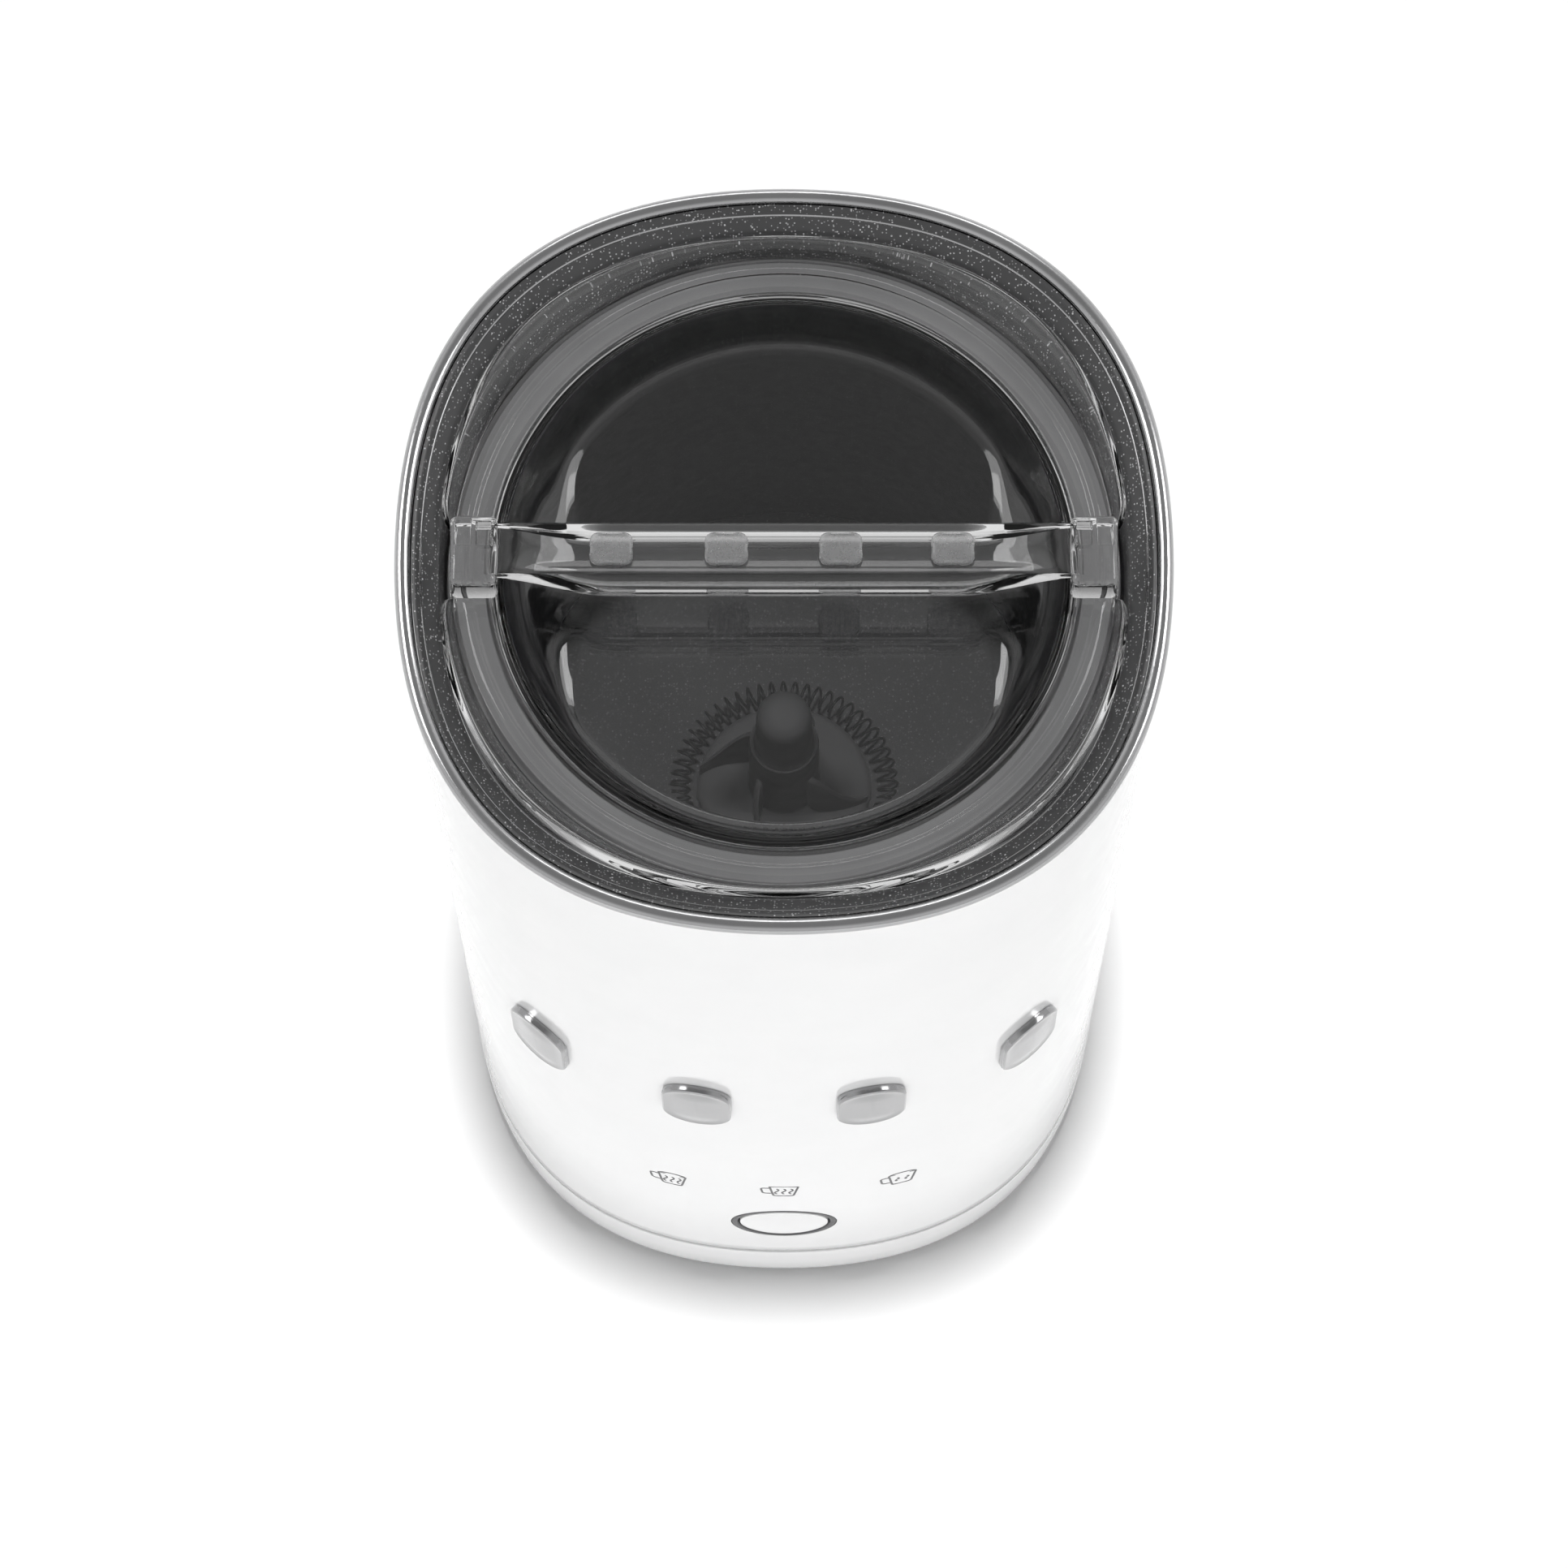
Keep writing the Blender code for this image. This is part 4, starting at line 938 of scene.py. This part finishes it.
def make_spring(height):
    """A long spring laid in a ring round the rotor; its ends meet."""
    coil = bpy.data.curves.new("whisk_spring", "CURVE")
    coil.dimensions = "3D"
    coil.bevel_depth = 0.20 * MM
    coil.bevel_resolution = 2
    line = coil.splines.new("POLY")
    turns, per_turn = 58, 12
    coil_radius = 1.36 * MM
    line.points.add(turns * per_turn - 1)
    for index, point in enumerate(line.points):
        around = 2 * math.pi * index / (turns * per_turn)
        twist = 2 * math.pi * index / per_turn
        reach = WHISK_COIL_RADIUS + coil_radius * math.cos(twist)
        point.co = (reach * math.sin(around), -reach * math.cos(around),
                    height + coil_radius * math.sin(twist), 1)
    line.use_cyclic_u = True
    spring = bpy.data.objects.new("whisk_spring", coil)
    bpy.context.scene.collection.objects.link(spring)
    graph = bpy.context.evaluated_depsgraph_get()
    bpy.context.view_layer.update()
    mesh = bpy.data.meshes.new_from_object(spring.evaluated_get(graph))
    bpy.data.objects.remove(spring, do_unlink=True)
    mesh.shade_smooth()
    ring = bpy.data.objects.new("whisk_spring", mesh)
    bpy.context.scene.collection.objects.link(ring)
    finish(ring, "polished_steel", "whisk", "whisk_coil")
    ring.data.materials[0] = SPRING_WIRE


def make_vane(number, puck):
    """A thin swept vane from the hub's foot out over the puck."""
    steps = 12
    bm = bmesh.new()
    rows = []
    for step in range(steps + 1):
        out = step / steps
        reach = (4.6 + 7.6 * out) * MM
        turn = math.radians(45 + 90 * number + 34 * out)
        top = puck + (14.5 - 11.5 * smooth_step(out)) * MM
        low = puck - 0.4 * MM
        thick = (0.55 - 0.25 * out) * MM
        along = Vector((math.cos(turn), math.sin(turn), 0))
        side = Vector((-along.y, along.x, 0)) * thick
        base = along * reach
        rows.append([bm.verts.new(base + side * s + Vector((0, 0, z)))
                     for s, z in ((-1, low), (-1, top - 0.3 * MM), (-0.5, top), (0.5, top),
                                  (1, top - 0.3 * MM), (1, low))])
    skin(bm, rows)
    bm.faces.new(rows[0])
    bm.faces.new(rows[-1])
    finish(piece_from(f"whisk_vane_{number + 1}", bm, 50), "black_plastic", "whisk")


# ---------------------------------------------------------------- stage

def make_stage():
    """A white paper floor just under the part."""
    bm = bmesh.new()
    bmesh.ops.create_grid(bm, x_segments=8, y_segments=8, size=4.0)
    floor = piece_from("floor", bm)
    floor.location.z = -0.2 * MM
    nodes = Nodes("floor_paper")
    nodes.colour(nodes.ramp(nodes.noise(30, 2), [(0.3, (0.955,) * 3), (0.7, (0.965,) * 3)]))
    nodes.roughness(nodes.spread(nodes.noise(200, 2), 0.85, 0.95))
    nodes.set(Specular_IOR_Level=0.1)
    floor.data.materials.append(nodes.material)


def area_light(name, place, target, width, height, radiance, lights=True, shines=True):
    """A soft rectangular light. lights says whether matt surfaces catch it, and shines whether
    glossy ones show it; clear plastic never does."""
    light = bpy.data.lights.new(name, "AREA")
    light.shape = "RECTANGLE"
    light.size = width
    light.size_y = height
    light.energy = radiance * math.pi * width * height
    lamp = bpy.data.objects.new(name, light)
    lamp.location = place
    direction = Vector(target) - Vector(place)
    lamp.rotation_euler = direction.to_track_quat("-Z", "Y").to_euler()
    lamp.visible_diffuse = lights
    lamp.visible_glossy = shines
    lamp.visible_transmission = False
    bpy.context.scene.collection.objects.link(lamp)


def card(name, azimuth, elevation, width, height, radiance):
    """A reflector card, seen only in glossy surfaces, at angles round the lid; azimuth 0 is behind."""
    away = 1.2
    lid = Vector((0, 0, RIM_Z))
    turn, rise = math.radians(azimuth), math.radians(elevation)
    direction = Vector((math.sin(turn) * math.cos(rise), math.cos(turn) * math.cos(rise), math.sin(rise)))
    area_light(name, lid + direction * away, lid, width, height, radiance, lights=False)


def make_world():
    """A plain studio: dim even light, seen in gloss and in clear plastic as pale walls under a
    darker ceiling."""
    walls, ceiling, on_matt = 0.82, 0.36, 0.28
    world = bpy.data.worlds.new("studio")
    world.use_nodes = True
    tree = world.node_tree
    sky = tree.nodes["Background"]
    sky.inputs["Color"].default_value = (1, 1, 1, 1)
    place = tree.nodes.new("ShaderNodeTexCoord")
    split = tree.nodes.new("ShaderNodeSeparateXYZ")
    tree.links.new(place.outputs["Generated"], split.inputs["Vector"])
    room = tree.nodes.new("ShaderNodeMapRange")
    for socket, value in (("From Min", 0.55), ("From Max", 0.90),
                          ("To Min", walls), ("To Max", ceiling)):
        room.inputs[socket].default_value = value
    tree.links.new(split.outputs["Z"], room.inputs["Value"])
    path = tree.nodes.new("ShaderNodeLightPath")
    level = tree.nodes.new("ShaderNodeMapRange")
    level.inputs["To Max"].default_value = on_matt
    tree.links.new(room.outputs["Result"], level.inputs["To Min"])
    tree.links.new(path.outputs["Is Diffuse Ray"], level.inputs["Value"])
    tree.links.new(level.outputs["Result"], sky.inputs["Strength"])
    bpy.context.scene.world = world


def make_lights():
    """A high soft sun, low fills for the walls and reflector cards for the lid and the rim."""
    key = bpy.data.lights.new("key_top", "SUN")
    key.energy = 2.3
    key.angle = math.radians(3.5)
    lamp = bpy.data.objects.new("key_top", key)
    lamp.location = (0, 0, 1)
    lamp.rotation_euler = (math.radians(-0.8), 0, 0)
    lamp.visible_glossy = False
    lamp.visible_transmission = False
    bpy.context.scene.collection.objects.link(lamp)
    middle, foot = (0, 0, 0.08), (0, 0, 0.01)
    for side in (-1, 1):
        area_light("front_fill", (side * 0.50, -1.0, 0.20), middle, width=0.6, height=0.30,
                   radiance=2.60, shines=False)
        card("side_card", side * 72, 42, width=0.60, height=0.50, radiance=3.6)
        card("side_box", side * 62, 48, width=0.24, height=0.22, radiance=4.5)
    area_light("rear_fill", (0, 1.0, 0.20), middle, width=0.9, height=0.30, radiance=1.6, shines=False)
    area_light("low_fill", (0, -0.8, 0.05), foot, width=0.9, height=0.08, radiance=4.4, shines=False)
    card("rear_card", 0, 36, width=0.80, height=0.30, radiance=2.4)


def make_camera():
    """A long lens looking steeply down at the front; pitch is the angle below the horizon."""
    pitch = math.radians(72.11)
    distance = 18.22 * RIM_RADIUS
    aim = Vector((0, 0, RIM_Z - 1.845 * RIM_RADIUS))
    data = bpy.data.cameras.new("camera")
    data.sensor_width = 36.0
    data.lens = 152.57
    data.clip_start = 0.05
    data.clip_end = 20.0
    camera = bpy.data.objects.new("camera", data)
    camera.location = aim + Vector((0, -math.cos(pitch), math.sin(pitch))) * distance
    camera.rotation_euler = (math.pi / 2 - pitch, 0, 0)
    bpy.context.scene.collection.objects.link(camera)
    bpy.context.scene.camera = camera


dress_cad_nodes()
make_base_cover()
make_body_shell()
make_rim()
make_jug()
make_button()
make_badges()
make_icons()
make_lid_shell()
make_lid_seal()
make_lid_handle()
make_whisk()
make_stage()
make_world()
make_lights()
make_camera()
bpy.context.scene.view_settings.view_transform = "Standard"
